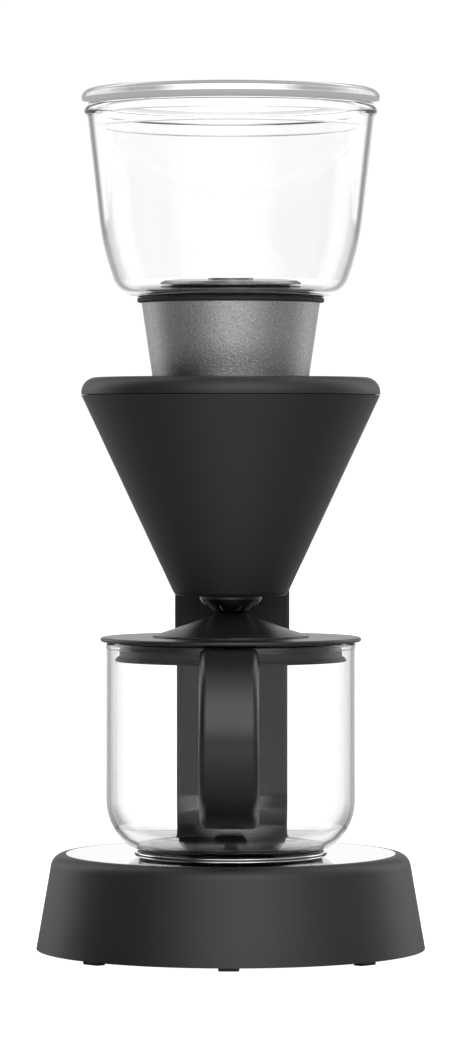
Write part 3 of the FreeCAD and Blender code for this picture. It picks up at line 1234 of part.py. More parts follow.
def main():
    make_base_shell()
    make_base_feet()
    make_base_bottom_cover()
    countersunk_screws("base_screws", POSTS, "cover_low")
    make_trim_plate()
    make_plate_seal()
    make_warming_plate()
    make_heater_casting()
    make_heater_element()
    make_heater_clamp()
    make_heater_screws()
    make_thermostat()
    make_thermal_fuse()
    make_control_board()
    make_terminal_block()
    make_cord_gland()
    make_gland_nut()
    make_hose("feed_hose", "-port_x", "valve_to + 0.5", "head_low - 1")
    make_hose("riser_hose", "port_x", "hose_start", "head_low - 1")
    make_heater_inlet_hose()
    make_check_valve()
    make_hose_clamps()
    make_column_shell()
    make_column_rear_cover()
    make_column_screws()
    make_switch_housing()
    make_switch_rocker()
    make_head_housing()
    make_head_floor()
    make_spray_plate()
    make_duct("feed_duct", "-port_x", "feed_up_y - 5", chamber=False)
    make_duct("riser_duct", "port_x", "0", chamber=True)
    make_head_screws()
    make_collar()
    make_collar_seal()
    make_tank_socket()
    make_socket_oring()
    make_socket_hose()
    make_tank_bowl()
    make_tank_gasket()
    make_tank_outlet_plate()
    make_tank_outlet_body()
    make_tank_outlet_cap()
    make_tank_nut()
    make_tank_valve_poppet()
    make_spring("tank_valve_spring", "tank_spring_r", "poppet_low + 2.9", "guide_z - 0.1", 5)
    make_tank_lid()
    make_filter_cone()
    make_filter_basket()
    make_drip_dome()
    make_drip_seal()
    make_drip_plunger()
    make_spring("drip_spring", "plunger_r + 1.4", "plunger_flange_z + 1.1", "cone_low + 0.1", 3)
    make_carafe_glass()
    make_carafe_handle()
    make_handle_pads()
    make_carafe_lid_disc()
    make_carafe_lid_funnel()
    make_carafe_lid_plug()
    make_lid_gasket()
    check_all()
    write_all()


main()
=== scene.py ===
import math

import bmesh
import bpy
from bpy.props import FloatProperty, FloatVectorProperty, IntProperty, PointerProperty
from mathutils import Matrix, Vector


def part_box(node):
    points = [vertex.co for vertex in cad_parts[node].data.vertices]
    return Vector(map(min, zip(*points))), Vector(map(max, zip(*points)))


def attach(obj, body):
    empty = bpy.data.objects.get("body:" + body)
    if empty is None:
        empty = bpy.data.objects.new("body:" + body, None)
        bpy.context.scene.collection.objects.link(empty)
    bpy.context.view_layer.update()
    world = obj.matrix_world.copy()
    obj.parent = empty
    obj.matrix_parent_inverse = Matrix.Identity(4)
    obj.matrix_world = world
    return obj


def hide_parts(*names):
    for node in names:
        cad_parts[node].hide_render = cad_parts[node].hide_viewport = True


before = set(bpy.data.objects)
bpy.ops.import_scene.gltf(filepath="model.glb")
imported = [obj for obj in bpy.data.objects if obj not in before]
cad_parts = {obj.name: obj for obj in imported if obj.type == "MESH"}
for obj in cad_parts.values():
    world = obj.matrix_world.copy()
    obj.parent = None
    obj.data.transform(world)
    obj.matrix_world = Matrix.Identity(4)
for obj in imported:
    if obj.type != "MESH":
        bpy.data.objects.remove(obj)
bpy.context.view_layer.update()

bl_info = {
    "name": "Pour-over brewer",
    "version": (1, 0, 0),
    "blender": (4, 5, 0),
    "location": "3D View > Sidebar > Brewer",
    "description": "Finishes the packed pour-over coffee brewer and sets its studio",
    "category": "Object",
}

LEFT = 1
RIGHT = -1
SHARP = math.radians(38)
ARC_STEP = math.radians(5)
MERGE = 2e-6
FLAT = 1e-6
ON_AXIS = 1e-7
VECTOR = "NodeSocketVector"
FLOAT = "NodeSocketFloat"
MATERIALS = {}


# ---------------------------------------------------------------- settings
def colour(name, description, red, green, blue):
    return FloatVectorProperty(name=name, description=description, subtype="COLOR", size=3,
                               min=0.0, max=1.0, default=(red, green, blue))


def length(name, description, default):
    return FloatProperty(name=name, description=description, subtype="DISTANCE", unit="LENGTH",
                         precision=5, default=default)


def angle(name, description, degrees):
    return FloatProperty(name=name, description=description, subtype="ANGLE",
                         default=math.radians(degrees))


def amount(name, description, default):
    return FloatProperty(name=name, description=description, default=default)


class BREWER_PG_finish(bpy.types.PropertyGroup):
    """Colours and surface detail."""
    black: colour("Black plastic", "Colour of the matte casings", 0.0125, 0.0125, 0.013)
    satin: colour("Satin black", "Colour of the handle and the carafe lid", 0.0115, 0.0115, 0.012)
    gloss: colour("Gloss black", "Colour of the drip-stop dome", 0.008, 0.008, 0.009)
    rubber: colour("Rubber", "Colour of feet and seals", 0.016, 0.016, 0.016)
    hose: colour("Silicone hose", "Colour of the hoses", 0.62, 0.6, 0.55)
    aluminium: colour("Blasted aluminium", "Colour of the collar", 0.50, 0.50, 0.50)
    steel: colour("Steel", "Colour of polished and satin steel", 0.74, 0.74, 0.74)
    dark_steel: colour("Dark steel", "Colour of the tank's outlet plate", 0.3, 0.3, 0.3)
    zinc: colour("Zinc plating", "Colour of screws and clamps", 0.55, 0.56, 0.58)
    board: colour("Circuit board", "Colour of the board's lacquer", 0.02, 0.13, 0.05)
    floor: colour("Floor", "Colour of the studio floor", 0.3, 0.3, 0.3)
    grain: length("Grain", "Width of the moulded texture's bumps", 0.00045)
    grain_depth: length("Grain depth", "Height of the moulded texture's bumps", 0.00002)
    blast: length("Blast mark", "Width of the marks that bead blasting leaves", 0.00058)


class BREWER_PG_shape(bpy.types.PropertyGroup):
    """Sizes of the pieces that are made here."""
    turns: IntProperty(name="Turned sides", description="Sides of a turned piece", default=192, min=24)
    foot_radius: length("Foot circle", "Radius of the circle that the feet stand on", 0.097)
    foot_count: IntProperty(name="Feet", description="Number of rubber feet", default=8, min=3)
    foot_wide: length("Foot width", "Width of a foot along the circle", 0.0107)
    foot_deep: length("Foot depth", "Depth of a foot across the circle", 0.006)
    foot_round: length("Foot rounding", "Rounding of a foot's edges", 0.0006)
    coating_radius: length("Coating radius", "Radius of the coating on the warming plate", 0.0486)
    collar_hole: length("Collar hole", "Radius of the hole in the collar's foot", 0.027)
    collar_foot: length("Collar foot", "Outer radius of the collar at its foot", 0.0407)
    collar_foot_thick: length("Collar foot thickness", "Thickness of the collar's foot", 0.0035)
    collar_mouth: length("Collar mouth", "Outer radius of the collar at its mouth", 0.0464)
    ledge_radius: length("Ledge radius", "Inner radius of the ledge inside the collar", 0.037)
    ledge_low: length("Ledge underside", "Height of the ledge's underside", 0.325)
    ledge_top: length("Ledge top", "Height of the ledge's top", 0.328)
    tank_wall: length("Tank wall", "Thickness of the tank's glass", 0.0028)
    tank_hole: length("Tank hole", "Radius of the hole in the tank's foot", 0.016)
    tank_heel: length("Tank heel", "Radius of the curve up from the tank's foot", 0.0127)
    tank_turn: angle("Tank turn", "Slope where the heel meets the belly", 21.48)
    tank_belly: length("Tank belly", "Radius of the tank's long curve", 0.1276)
    tank_flare: angle("Tank flare", "Slope of the tank's straight wall", 6.48)
    tank_waist: length("Tank waist", "Radius of the tank where its straight wall starts", 0.0685)
    lid_bead: length("Lid bead", "Radius of the bead round the tank's lid", 0.00425)
    lid_top: length("Lid top", "Height of the lid's flat top", 0.4466)
    lid_thick: length("Lid thickness", "Thickness of the lid's flat top", 0.0034)
    lid_plug: length("Lid plug", "Outer radius of the ring under the lid", 0.0702)
    lid_plug_wall: length("Lid plug wall", "Thickness of the ring under the lid", 0.003)
    lid_round: length("Lid rounding", "Rounding inside, between the top and the ring", 0.0015)
    carafe_wall: length("Carafe wall", "Thickness of the carafe's glass", 0.0024)
    carafe_radius: length("Carafe radius", "Radius of the carafe's straight wall", 0.065)
    carafe_heel: length("Carafe heel", "Radius of the curve up from the carafe's foot", 0.02125)
    carafe_turn: angle("Carafe turn", "Slope where the heel meets the belly", 39.5)
    carafe_belly: length("Carafe belly", "Radius of the curve into the straight wall", 0.03046)
    stand_ring: length("Stand ring", "Radius of the ring that the carafe stands on", 0.039)
    raise_radius: length("Raised floor", "Radius of the raised middle of the carafe's floor", 0.034)


class BREWER_PG_studio(bpy.types.PropertyGroup):
    """Camera and light."""
    distance: length("Camera distance", "Distance of the camera from the brewer's axis", 2.548)
    height: length("Camera height", "Height of the camera above the table", 0.2664)
    aim: length("Aim height", "Height that the camera looks at", 0.2219)
    aside: length("Aim aside", "How far right of the axis the camera looks", -0.0004)
    focal: amount("Focal length", "Millimetres on a 36 mm frame", 168.0)
    turn: angle("Camera turn", "Turn to the right about the brewer", 0.6)
    backdrop: amount("Backdrop", "Brightness of floor and background to the camera", 1.05)
    behind: amount("Light behind", "Brightness of the sweep behind", 1.02)
    window: angle("Window", "Half width of the white seen straight behind", 10)
    window_edge: angle("Window edge", "Softness of that white's sides", 10)
    dim: amount("Dim behind", "Brightness behind, beside the white", 0.26)
    wings: amount("Wings", "Brightness of the two strips behind at the sides", 1.3)
    wing_turn: angle("Wing turn", "Turn of the two strips away from the front", 128)
    wing_spread: angle("Wing width", "Half width of each strip, and its softness", 12)
    front: amount("Soft box", "Brightness of the front soft box", 2.6)
    spread: angle("Soft box width", "Softness of the front soft box's sides", 38)
    shift: angle("Soft box turn", "Turn of the soft box to the right", 9)
    right: amount("Right fill", "Brightness of the fill from the right", 0.4)
    right_turn: angle("Right fill turn", "Turn of the fill away from the front", 85)
    right_spread: angle("Right fill width", "Half width of the fill", 15)
    right_edge: angle("Right fill edge", "Softness of the fill's sides", 35)
    ambient: amount("Ambient", "Brightness of everything else", 0.05)
    patch: amount("Floor light", "Brightness of the lit patch on the front floor", 1.1)


def settings():
    return bpy.context.scene.brewer_finish, bpy.context.scene.brewer_shape, bpy.context.scene.brewer_studio


# ---------------------------------------------------------------- shader effects
def effect(name, inputs, outputs):
    """A shader node group with plain inputs and outputs; returns it with its two end nodes."""
    group = bpy.data.node_groups.new(name, "ShaderNodeTree")
    for socket, kind, default in inputs:
        made = group.interface.new_socket(name=socket, in_out="INPUT", socket_type=kind)
        if default is not None:
            made.default_value = default
    for socket in outputs:
        group.interface.new_socket(name=socket, in_out="OUTPUT", socket_type="NodeSocketFloat")
    start = group.nodes.new("NodeGroupInput")
    end = group.nodes.new("NodeGroupOutput")
    return group, start, end


def add(tree, kind, **values):
    """A new node; a keyword names a property, or an input with its spaces as underscores."""
    node = tree.nodes.new(kind)
    for key, value in values.items():
        if hasattr(node, key):
            setattr(node, key, value)
        else:
            node.inputs[key.replace("_", " ")].default_value = value
    return node


def calculate(tree, operation, first, second=0.0):
    """A Math node on one or two sockets or numbers; returns its output."""
    node = tree.nodes.new("ShaderNodeMath")
    node.operation = operation
    for number, value in enumerate((first, second)):
        if isinstance(value, (int, float)):
            node.inputs[number].default_value = value
        else:
            tree.links.new(value, node.inputs[number])
    return node.outputs[0]


def spread(tree, value, low, high, new_low, new_high):
    """Maps a value from one range to another, held inside it."""
    node = add(tree, "ShaderNodeMapRange")
    tree.links.new(value, node.inputs["Value"])
    for name, number in (("From Min", low), ("From Max", high), ("To Min", new_low), ("To Max", new_high)):
        node.inputs[name].default_value = number
    return node.outputs["Result"]


def from_axis(tree, place):
    """A place's distance from the Z axis and its height."""
    parts = add(tree, "ShaderNodeSeparateXYZ")
    tree.links.new(place, parts.inputs[0])
    squares = [calculate(tree, "MULTIPLY", parts.outputs[axis], parts.outputs[axis]) for axis in "XY"]
    return calculate(tree, "SQRT", calculate(tree, "ADD", *squares)), parts.outputs["Z"]


def grain_effect():
    """Moulded texture: two sizes of noise as a height, and a slow shade."""
    group, start, end = effect("moulded_grain", [("Place", VECTOR, None), ("Width", FLOAT, 0.0004)],
                               ["Height", "Shade"])
    scale = calculate(group, "DIVIDE", 1.0, start.outputs["Width"])
    fine = add(group, "ShaderNodeTexNoise", Detail=2.0, Roughness=0.55)
    coarse = add(group, "ShaderNodeTexNoise", Scale=14.0, Detail=3.0)
    for node in (fine, coarse):
        group.links.new(start.outputs["Place"], node.inputs["Vector"])
    group.links.new(scale, fine.inputs["Scale"])
    group.links.new(fine.outputs["Fac"], end.inputs["Height"])
    group.links.new(coarse.outputs["Fac"], end.inputs["Shade"])


def handling_effect():
    """Faint smears that hands leave: soft patches with finer streaks in them."""
    group, start, end = effect("handling", [("Place", VECTOR, None), ("Amount", FLOAT, 0.1)], ["Mask"])
    patch = add(group, "ShaderNodeTexNoise", Scale=22.0, Detail=3.0, Distortion=0.8)
    streak = add(group, "ShaderNodeTexNoise", Scale=180.0, Detail=2.0, Distortion=1.5)
    for node in (patch, streak):
        group.links.new(start.outputs["Place"], node.inputs["Vector"])
    soft = spread(group, patch.outputs["Fac"], 0.45, 0.75, 0.0, 1.0)
    fine = spread(group, streak.outputs["Fac"], 0.4, 0.7, 0.4, 1.0)
    both = calculate(group, "MULTIPLY", soft, fine)
    group.links.new(calculate(group, "MULTIPLY", both, start.outputs["Amount"]), end.inputs["Mask"])


def dust_effect():
    """Fine dust that lies on faces which look up."""
    group, start, end = effect("settled_dust", [("Place", VECTOR, None), ("Amount", FLOAT, 0.1)], ["Mask"])
    geometry = add(group, "ShaderNodeNewGeometry")
    parts = add(group, "ShaderNodeSeparateXYZ")
    group.links.new(geometry.outputs["Normal"], parts.inputs[0])
    up = spread(group, parts.outputs["Z"], 0.6, 1.0, 0.0, 1.0)
    specks = add(group, "ShaderNodeTexNoise", Scale=900.0, Detail=4.0)
    group.links.new(start.outputs["Place"], specks.inputs["Vector"])
    dots = spread(group, specks.outputs["Fac"], 0.55, 0.72, 0.0, 1.0)
    lying = calculate(group, "MULTIPLY", up, dots)
    group.links.new(calculate(group, "MULTIPLY", lying, start.outputs["Amount"]), end.inputs["Mask"])


def turning_effect():
    """Fine rings about the Z axis, as a lathe or a polishing wheel leaves them."""
    group, start, end = effect("turning_marks", [("Place", VECTOR, None), ("Rings", FLOAT, 1500.0)],
                               ["Height"])
    radius, high = from_axis(group, start.outputs["Place"])
    rings = add(group, "ShaderNodeTexNoise", noise_dimensions="1D", Detail=3.0, Roughness=0.7)
    group.links.new(calculate(group, "ADD", radius, high), rings.inputs["W"])
    group.links.new(start.outputs["Rings"], rings.inputs["Scale"])
    group.links.new(rings.outputs["Fac"], end.inputs["Height"])


# ---------------------------------------------------------------- materials
class Finish:
    """One material being built: its tree, its shader and the place on the piece."""

    def __init__(self, name, **values):
        self.material = bpy.data.materials.new(name)
        self.material.use_nodes = True
        self.tree = self.material.node_tree
        self.shader = self.tree.nodes["Principled BSDF"]
        for key, value in values.items():
            socket = self.shader.inputs[key.replace("_", " ")]
            socket.default_value = (*value, 1.0) if socket.type == "RGBA" else value
        self.place = add(self.tree, "ShaderNodeTexCoord").outputs["Object"]

    def drive(self, name, value):
        """Links a value to one of the shader's inputs."""
        self.tree.links.new(value, self.shader.inputs[name])

    def effect(self, name, output, **values):
        """An output of one of the shader effects, at this material's place."""
        node = self.tree.nodes.new("ShaderNodeGroup")
        node.node_tree = bpy.data.node_groups[name]
        self.tree.links.new(self.place, node.inputs["Place"])
        for key, value in values.items():
            node.inputs[key].default_value = value
        return node.outputs[output]

    def bump(self, height, distance):
        """Adds a height to the surface, on top of the heights before it."""
        node = add(self.tree, "ShaderNodeBump", Strength=1.0, Distance=distance)
        self.tree.links.new(height, node.inputs["Height"])
        previous = self.shader.inputs["Normal"]
        if previous.is_linked:
            self.tree.links.new(previous.links[0].from_socket, node.inputs["Normal"])
        self.drive("Normal", node.outputs["Normal"])

    def roughness(self, value, low, high):
        """The roughness, from one amount to another by a value."""
        self.drive("Roughness", spread(self.tree, value, 0.0, 1.0, low, high))

    def tint(self, value, first, second):
        """The base colour, from one shade to another by a value."""
        node = add(self.tree, "ShaderNodeMix", data_type="RGBA")
        shades = {"A": first, "B": second}
        for socket in node.inputs:
            if socket.type == "RGBA" and socket.name in shades:
                socket.default_value = (*shades[socket.name], 1.0)
        self.tree.links.new(value, node.inputs["Factor"])
        self.drive("Base Color", next(out for out in node.outputs if out.type == "RGBA"))


def scaled(shade, factor):
    """A lighter or darker shade."""
    return tuple(min(1.0, channel * factor) for channel in shade)


def moulded(name, shade, roughness, depth, smears=0.25, dust=0.05):
    """Moulded plastic: grain, uneven shade, faint smears and dust on top."""
    finish = settings()[0]
    made = Finish(name, Specular_IOR_Level=0.5)
    slow = made.effect("moulded_grain", "Shade", Width=finish.grain)
    dusty = made.effect("settled_dust", "Mask", Amount=dust)
    mixed = calculate(made.tree, "ADD", calculate(made.tree, "MULTIPLY", slow, 0.35), dusty)
    made.tint(mixed, scaled(shade, 0.85), scaled(shade, 1.9))
    smear = made.effect("handling", "Mask", Amount=smears)
    made.roughness(smear, roughness, roughness * 0.72)
    made.bump(made.effect("moulded_grain", "Height", Width=finish.grain), depth)
    return made.material


def glass_material(name, painted_glow):
    """Clear glass with the faintest smears; a thick piece gets a painted glow, an emission that grows with
    ray depth.
    """
    made = Finish(name, Transmission_Weight=1.0, IOR=1.47, Base_Color=(0.985, 0.992, 0.99),
                  Emission_Color=(1.0, 1.0, 1.0))
    made.roughness(made.effect("handling", "Mask", Amount=0.5), 0.0, 0.005)
    if painted_glow > 0.0:
        # painted glow: an emission that stands in for light caught inside thick glass
        depth = add(made.tree, "ShaderNodeLightPath").outputs["Ray Depth"]
        glow = spread(made.tree, depth, 2.5, 4.5, 0.0, painted_glow)
        made.drive("Emission Strength", glow)
    return made.material


def metal(name, shade, roughness, rings, depth):
    """Turned or polished metal with rings about the axis."""
    made = Finish(name, Metallic=1.0)
    marks = made.effect("turning_marks", "Height", Rings=rings)
    made.tint(marks, scaled(shade, 0.94), scaled(shade, 1.05))
    smear = made.effect("handling", "Mask", Amount=0.6)
    made.roughness(smear, roughness, roughness * 1.25 + 0.02)
    made.bump(marks, depth)
    return made.material


def blasted_material():
    """Bead-blasted aluminium: fine pits and a speckled shade."""
    finish = settings()[0]
    made = Finish("blasted_aluminium", Metallic=1.0)
    pits = add(made.tree, "ShaderNodeTexVoronoi", Scale=1.0 / finish.blast)
    made.tree.links.new(made.place, pits.inputs["Vector"])
    speck = made.effect("moulded_grain", "Height", Width=finish.blast * 1.6)
    contrast = spread(made.tree, speck, 0.3, 0.7, 0.0, 1.0)
    made.tint(contrast, scaled(finish.aluminium, 0.72), scaled(finish.aluminium, 1.22))
    made.roughness(speck, 0.26, 0.4)
    made.bump(pits.outputs["Distance"], finish.blast * 0.16)
    made.bump(speck, finish.blast * 0.2)
    return made.material


def coated_material():
    """Steel plate with a dark non-stick coating inside its bright rim."""
    finish, shape, _ = settings()
    made = Finish("coated_plate", Specular_IOR_Level=0.12)
    tree = made.tree
    radius, _ = from_axis(tree, made.place)
    bare = spread(tree, radius, shape.coating_radius, shape.coating_radius + 0.0002, 0.0, 1.0)
    made.tint(bare, finish.gloss, finish.steel)
    made.drive("Metallic", bare)
    even = calculate(tree, "MULTIPLY", calculate(tree, "SUBTRACT", 1.0, bare), 0.36)
    smear = calculate(tree, "MULTIPLY", made.effect("handling", "Mask", Amount=0.6), 0.08)
    made.drive("Roughness", calculate(tree, "ADD", even, smear))
    made.bump(made.effect("moulded_grain", "Height", Width=finish.grain), finish.grain_depth * 0.3)
    return made.material


def board_material():
    """Lacquered circuit board with copper tracks showing through."""
    finish = settings()[0]
    made = Finish("circuit_board", Coat_Weight=0.4)
    tracks = add(made.tree, "ShaderNodeTexBrick", Scale=260.0)
    made.tree.links.new(made.place, tracks.inputs["Vector"])
    made.tint(tracks.outputs["Fac"], finish.board, scaled(finish.board, 2.6))
    made.roughness(made.effect("handling", "Mask", Amount=0.5), 0.25, 0.4)
    return made.material


def make_materials():
    for build in (grain_effect, handling_effect, dust_effect, turning_effect):
        build()
    finish = settings()[0]
    depth = finish.grain_depth
    return {
        "black_plastic": moulded("black_plastic", finish.black, 0.47, depth),
        "satin_black": moulded("satin_black", finish.satin, 0.33, depth * 0.5, smears=0.5, dust=0.03),
        "inner_plastic": moulded("inner_plastic", scaled(finish.black, 2.6), 0.5, depth),
        "gloss_black": moulded("gloss_black", finish.gloss, 0.09, depth * 0.05, smears=0.8, dust=0.02),
        "rubber": moulded("rubber", finish.rubber, 0.62, depth * 1.5, smears=0.1, dust=0.1),
        "hose": moulded("hose", finish.hose, 0.4, depth * 0.4),
        "clear_glass": glass_material("clear_glass", 0.0),
        # the lid's glass gets a painted glow, an emission of up to 0.14
        "lid_glass": glass_material("lid_glass", 0.14),
        "blasted_aluminium": blasted_material(),
        "mirror_steel": metal("mirror_steel", finish.steel, 0.025, 900.0, 0.0000006),
        "plate_steel": metal("plate_steel", scaled(finish.steel, 0.9), 0.12, 2200.0, 0.000004),
        "dark_steel": metal("dark_steel", finish.dark_steel, 0.22, 2200.0, 0.000004),
        "cast_aluminium": metal("cast_aluminium", scaled(finish.aluminium, 1.1), 0.5, 300.0, 0.00004),
        "zinc_steel": metal("zinc_steel", finish.zinc, 0.3, 1800.0, 0.000006),
        "coated_plate": coated_material(),
        "circuit_board": board_material(),
    }


# ---------------------------------------------------------------- mesh tools
def arc_points(start, end, radius, side):
    """Points after start up to end on the short arc whose centre lies left or right of the way."""
    chord = end - start
    rise = math.sqrt(max(radius ** 2 - (chord.length / 2) ** 2, 0.0))
    centre = (start + end) / 2 + Vector((-chord.y, chord.x)).normalized() * rise * side
    first = start - centre
    turn = 2 * math.asin(min(1.0, chord.length / 2 / radius)) * side
    steps = max(2, math.ceil(abs(turn) / ARC_STEP))
    return [centre + Matrix.Rotation(turn * step / steps, 2) @ first for step in range(1, steps + 1)]


def trace(outline):
    """The points of a closed outline whose corners are (r, z) or (r, z, radius, side) for an arc."""
    corners = [Vector(corner[:2]) for corner in outline]
    points = []
    for number, corner in enumerate(outline):
        if len(corner) == 2:
            points.append(corners[number])
        else:
            points += arc_points(corners[number - 1], corners[number], corner[2], corner[3])
    return points


def turned_mesh(name, outline, sides):
    """A closed solid of revolution about the Z axis."""
    points = trace(outline)
    mesh = bpy.data.meshes.new(name)
    vertices = []
    rings = []
    for point in points:
        if point.x < ON_AXIS:
            rings.append([len(vertices)] * sides)
            vertices.append((0.0, 0.0, point.y))
            continue
        rings.append(list(range(len(vertices), len(vertices) + sides)))
        for side in range(sides):
            turn = math.tau * side / sides
            vertices.append((point.x * math.cos(turn), point.x * math.sin(turn), point.y))
    faces = []
    for before, after in zip(rings, rings[1:] + rings[:1]):
        for side in range(sides):
            following = (side + 1) % sides
            corners = [before[side], before[following], after[following], after[side]]
            face = list(dict.fromkeys(corners))
            if len(face) > 2:
                faces.append(face)
    mesh.from_pydata(vertices, [], faces)
    return tidy_mesh(mesh)


def tidy_mesh(mesh):
    """Merges doubles, points the faces outwards and marks what is smooth and what is sharp."""
    work = bmesh.new()
    work.from_mesh(mesh)
    bmesh.ops.remove_doubles(work, verts=work.verts, dist=MERGE)
    bmesh.ops.dissolve_degenerate(work, edges=work.edges, dist=FLAT)
    bmesh.ops.recalc_face_normals(work, faces=work.faces)
    work.to_mesh(mesh)
    work.free()
    mesh.shade_smooth()
    mesh.set_sharp_from_angle(angle=SHARP)
    return mesh


def finished(name, mesh, material, body, nodes, edge=0.0):
    """Makes the object of a finished mesh, gives it its material and puts it on its body."""
    piece = bpy.data.objects.new(name, mesh)
    bpy.context.scene.collection.objects.link(piece)
    mesh.materials.clear()
    mesh.materials.append(MATERIALS[material])
    if edge > 0.0:
        bevel = piece.modifiers.new("edge", "BEVEL")
        bevel.width = edge
        bevel.segments = 2
        bevel.limit_method = "ANGLE"
        bevel.angle_limit = SHARP
    weight = piece.modifiers.new("normals", "WEIGHTED_NORMAL")
    weight.keep_sharp = True
    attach(piece, body)
    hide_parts(*nodes)
    return piece


def turned(name, outline, material, body, nodes, edge=0.0):
    """A finished piece turned about the Z axis."""
    sides = settings()[1].turns
    return finished(name, turned_mesh(name, outline, sides), material, body, nodes, edge)


def smooth_copy(node, material, body, sharp=SHARP):
    """A merged and smoothed copy of a CAD node that stands for it."""
    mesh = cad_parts[node].data.copy()
    mesh.name = node + "_finished"
    merged = bmesh.new()
    merged.from_mesh(mesh)
    bmesh.ops.remove_doubles(merged, verts=merged.verts, dist=MERGE)
    merged.to_mesh(mesh)
    merged.free()
    if mesh.has_custom_normals:
        mesh.attributes.remove(mesh.attributes["custom_normal"])
    mesh.shade_smooth()
    mesh.set_sharp_from_angle(angle=sharp)
    return finished(node + "_finished", mesh, material, body, [node])


def dress(material, *nodes):
    """Gives CAD nodes whose shape is right their material."""
    for node in nodes:
        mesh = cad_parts[node].data
        mesh.materials.clear()
        mesh.materials.append(MATERIALS[material])


# ---------------------------------------------------------------- geometry nodes
def ring_tree():
    """Copies of one piece evenly about the Z axis, realised and given a material."""
    tree = bpy.data.node_groups.new("ring_of_copies", "GeometryNodeTree")
    tree.interface.new_socket(name="Geometry", in_out="OUTPUT", socket_type="NodeSocketGeometry")
    for name, kind in (("Piece", "NodeSocketObject"), ("Count", "NodeSocketInt"),
                       ("Finish", "NodeSocketMaterial")):
        tree.interface.new_socket(name=name, in_out="INPUT", socket_type=kind)
    start = tree.nodes.new("NodeGroupInput")
    end = tree.nodes.new("NodeGroupOutput")
    points = tree.nodes.new("GeometryNodePoints")
    source = tree.nodes.new("GeometryNodeObjectInfo")
    place = tree.nodes.new("GeometryNodeInstanceOnPoints")
    index = tree.nodes.new("GeometryNodeInputIndex")
    turn = tree.nodes.new("ShaderNodeCombineXYZ")
    realise = tree.nodes.new("GeometryNodeRealizeInstances")
    coat = tree.nodes.new("GeometryNodeSetMaterial")
    share = calculate(tree, "DIVIDE", math.tau, start.outputs["Count"])
    tree.links.new(start.outputs["Count"], points.inputs["Count"])
    tree.links.new(start.outputs["Piece"], source.inputs["Object"])
    tree.links.new(calculate(tree, "MULTIPLY", index.outputs[0], share), turn.inputs["Z"])
    tree.links.new(points.outputs[0], place.inputs["Points"])
    tree.links.new(source.outputs["Geometry"], place.inputs["Instance"])
    tree.links.new(turn.outputs[0], place.inputs["Rotation"])
    tree.links.new(place.outputs[0], realise.inputs[0])
    tree.links.new(realise.outputs[0], coat.inputs["Geometry"])
    tree.links.new(start.outputs["Finish"], coat.inputs["Material"])
    tree.links.new(coat.outputs[0], end.inputs[0])


def grown_mesh(name, tree, **values):
    """Runs a geometry tree with its named inputs set and returns the plain mesh that it makes."""
    carrier = bpy.data.objects.new(name + "_carrier", bpy.data.meshes.new(name + "_carrier"))
    bpy.context.scene.collection.objects.link(carrier)
    modifier = carrier.modifiers.new("grow", "NODES")
    modifier.node_group = tree
    for item in tree.interface.items_tree:
        if item.in_out == "INPUT" and item.name in values:
            modifier[item.identifier] = values[item.name]
    bpy.context.view_layer.update()
    graph = bpy.context.evaluated_depsgraph_get()
    mesh = bpy.data.meshes.new_from_object(carrier.evaluated_get(graph))
    mesh.name = name
    bpy.data.objects.remove(carrier)
    return mesh


def ring_of(name, single, count, material):
    """The mesh of `count` copies of a mesh about the Z axis."""
    source = bpy.data.objects.new(name + "_one", single)
    bpy.context.scene.collection.objects.link(source)
    mesh = grown_mesh(name, bpy.data.node_groups["ring_of_copies"], Piece=source, Count=count,
                      Finish=MATERIALS[material])
    bpy.data.objects.remove(source)
    mesh.shade_smooth()
    mesh.set_sharp_from_angle(angle=SHARP)
    return mesh


def rounded_block(name, low, high, rounding):
    """A box between two corners with all its edges rounded."""
    work = bmesh.new()
    bmesh.ops.create_cube(work, size=1.0)
    size = high - low
    for vertex in work.verts:
        vertex.co = Vector((vertex.co[axis] * size[axis] for axis in range(3))) + (low + high) / 2
    bmesh.ops.bevel(work, geom=work.edges[:], offset=rounding, segments=3, profile=0.5, affect="EDGES")
    mesh = bpy.data.meshes.new(name)
    work.to_mesh(mesh)
    work.free()
    return mesh


# ---------------------------------------------------------------- outlines
def glass_wall(foot_z, belly, heel, turn, flare, waist, inset):
    """Corners from the foot up to where the straight wall starts, moved inwards by `inset`."""
    mid_r = waist - belly * (math.cos(flare) - math.cos(turn))
    mid_z = foot_z + heel * (1 - math.sin(turn))
    foot_r = mid_r - heel * math.cos(turn)
    waist_z = mid_z + belly * (math.sin(turn) - math.sin(flare))
    return [
        (foot_r, foot_z + inset),
        (mid_r - inset * math.cos(turn), mid_z + inset * math.sin(turn), heel - inset),
        (waist - inset * math.cos(flare), waist_z + inset * math.sin(flare), belly - inset),
    ]


def rising(corners):
    """The corners in order, arcs bowing outwards on the way up."""
    return [corner if len(corner) == 2 else (*corner, LEFT) for corner in corners]


def falling(corners):
    """The corners in reverse order, each arc moved to the corner that it now ends at."""
    backwards = []
    radius = None
    for corner in reversed(corners):
        backwards.append(corner[:2] if radius is None else (*corner[:2], radius, RIGHT))
        radius = corner[2] if len(corner) == 3 else None
    return backwards


def rim(radius, top, wall, drop, inner_drop, inner_round):
    """Corners of a glass rim, from its outer side over the crown to its inner side."""
    crown_in = 0.0009
    crown_round = 0.0026
    return [(radius, top - drop), (radius - crown_in, top, crown_round, LEFT),
            (radius - wall, top - inner_drop, inner_round, LEFT)]


# ---------------------------------------------------------------- operators
class BREWER_OT_materials(bpy.types.Operator):
    """Shader effects, materials and the tree that repeats a piece"""
    bl_idname = "brewer.materials"
    bl_label = "Materials"

    def execute(self, context):
        MATERIALS.update(make_materials())
        ring_tree()
        return {"FINISHED"}


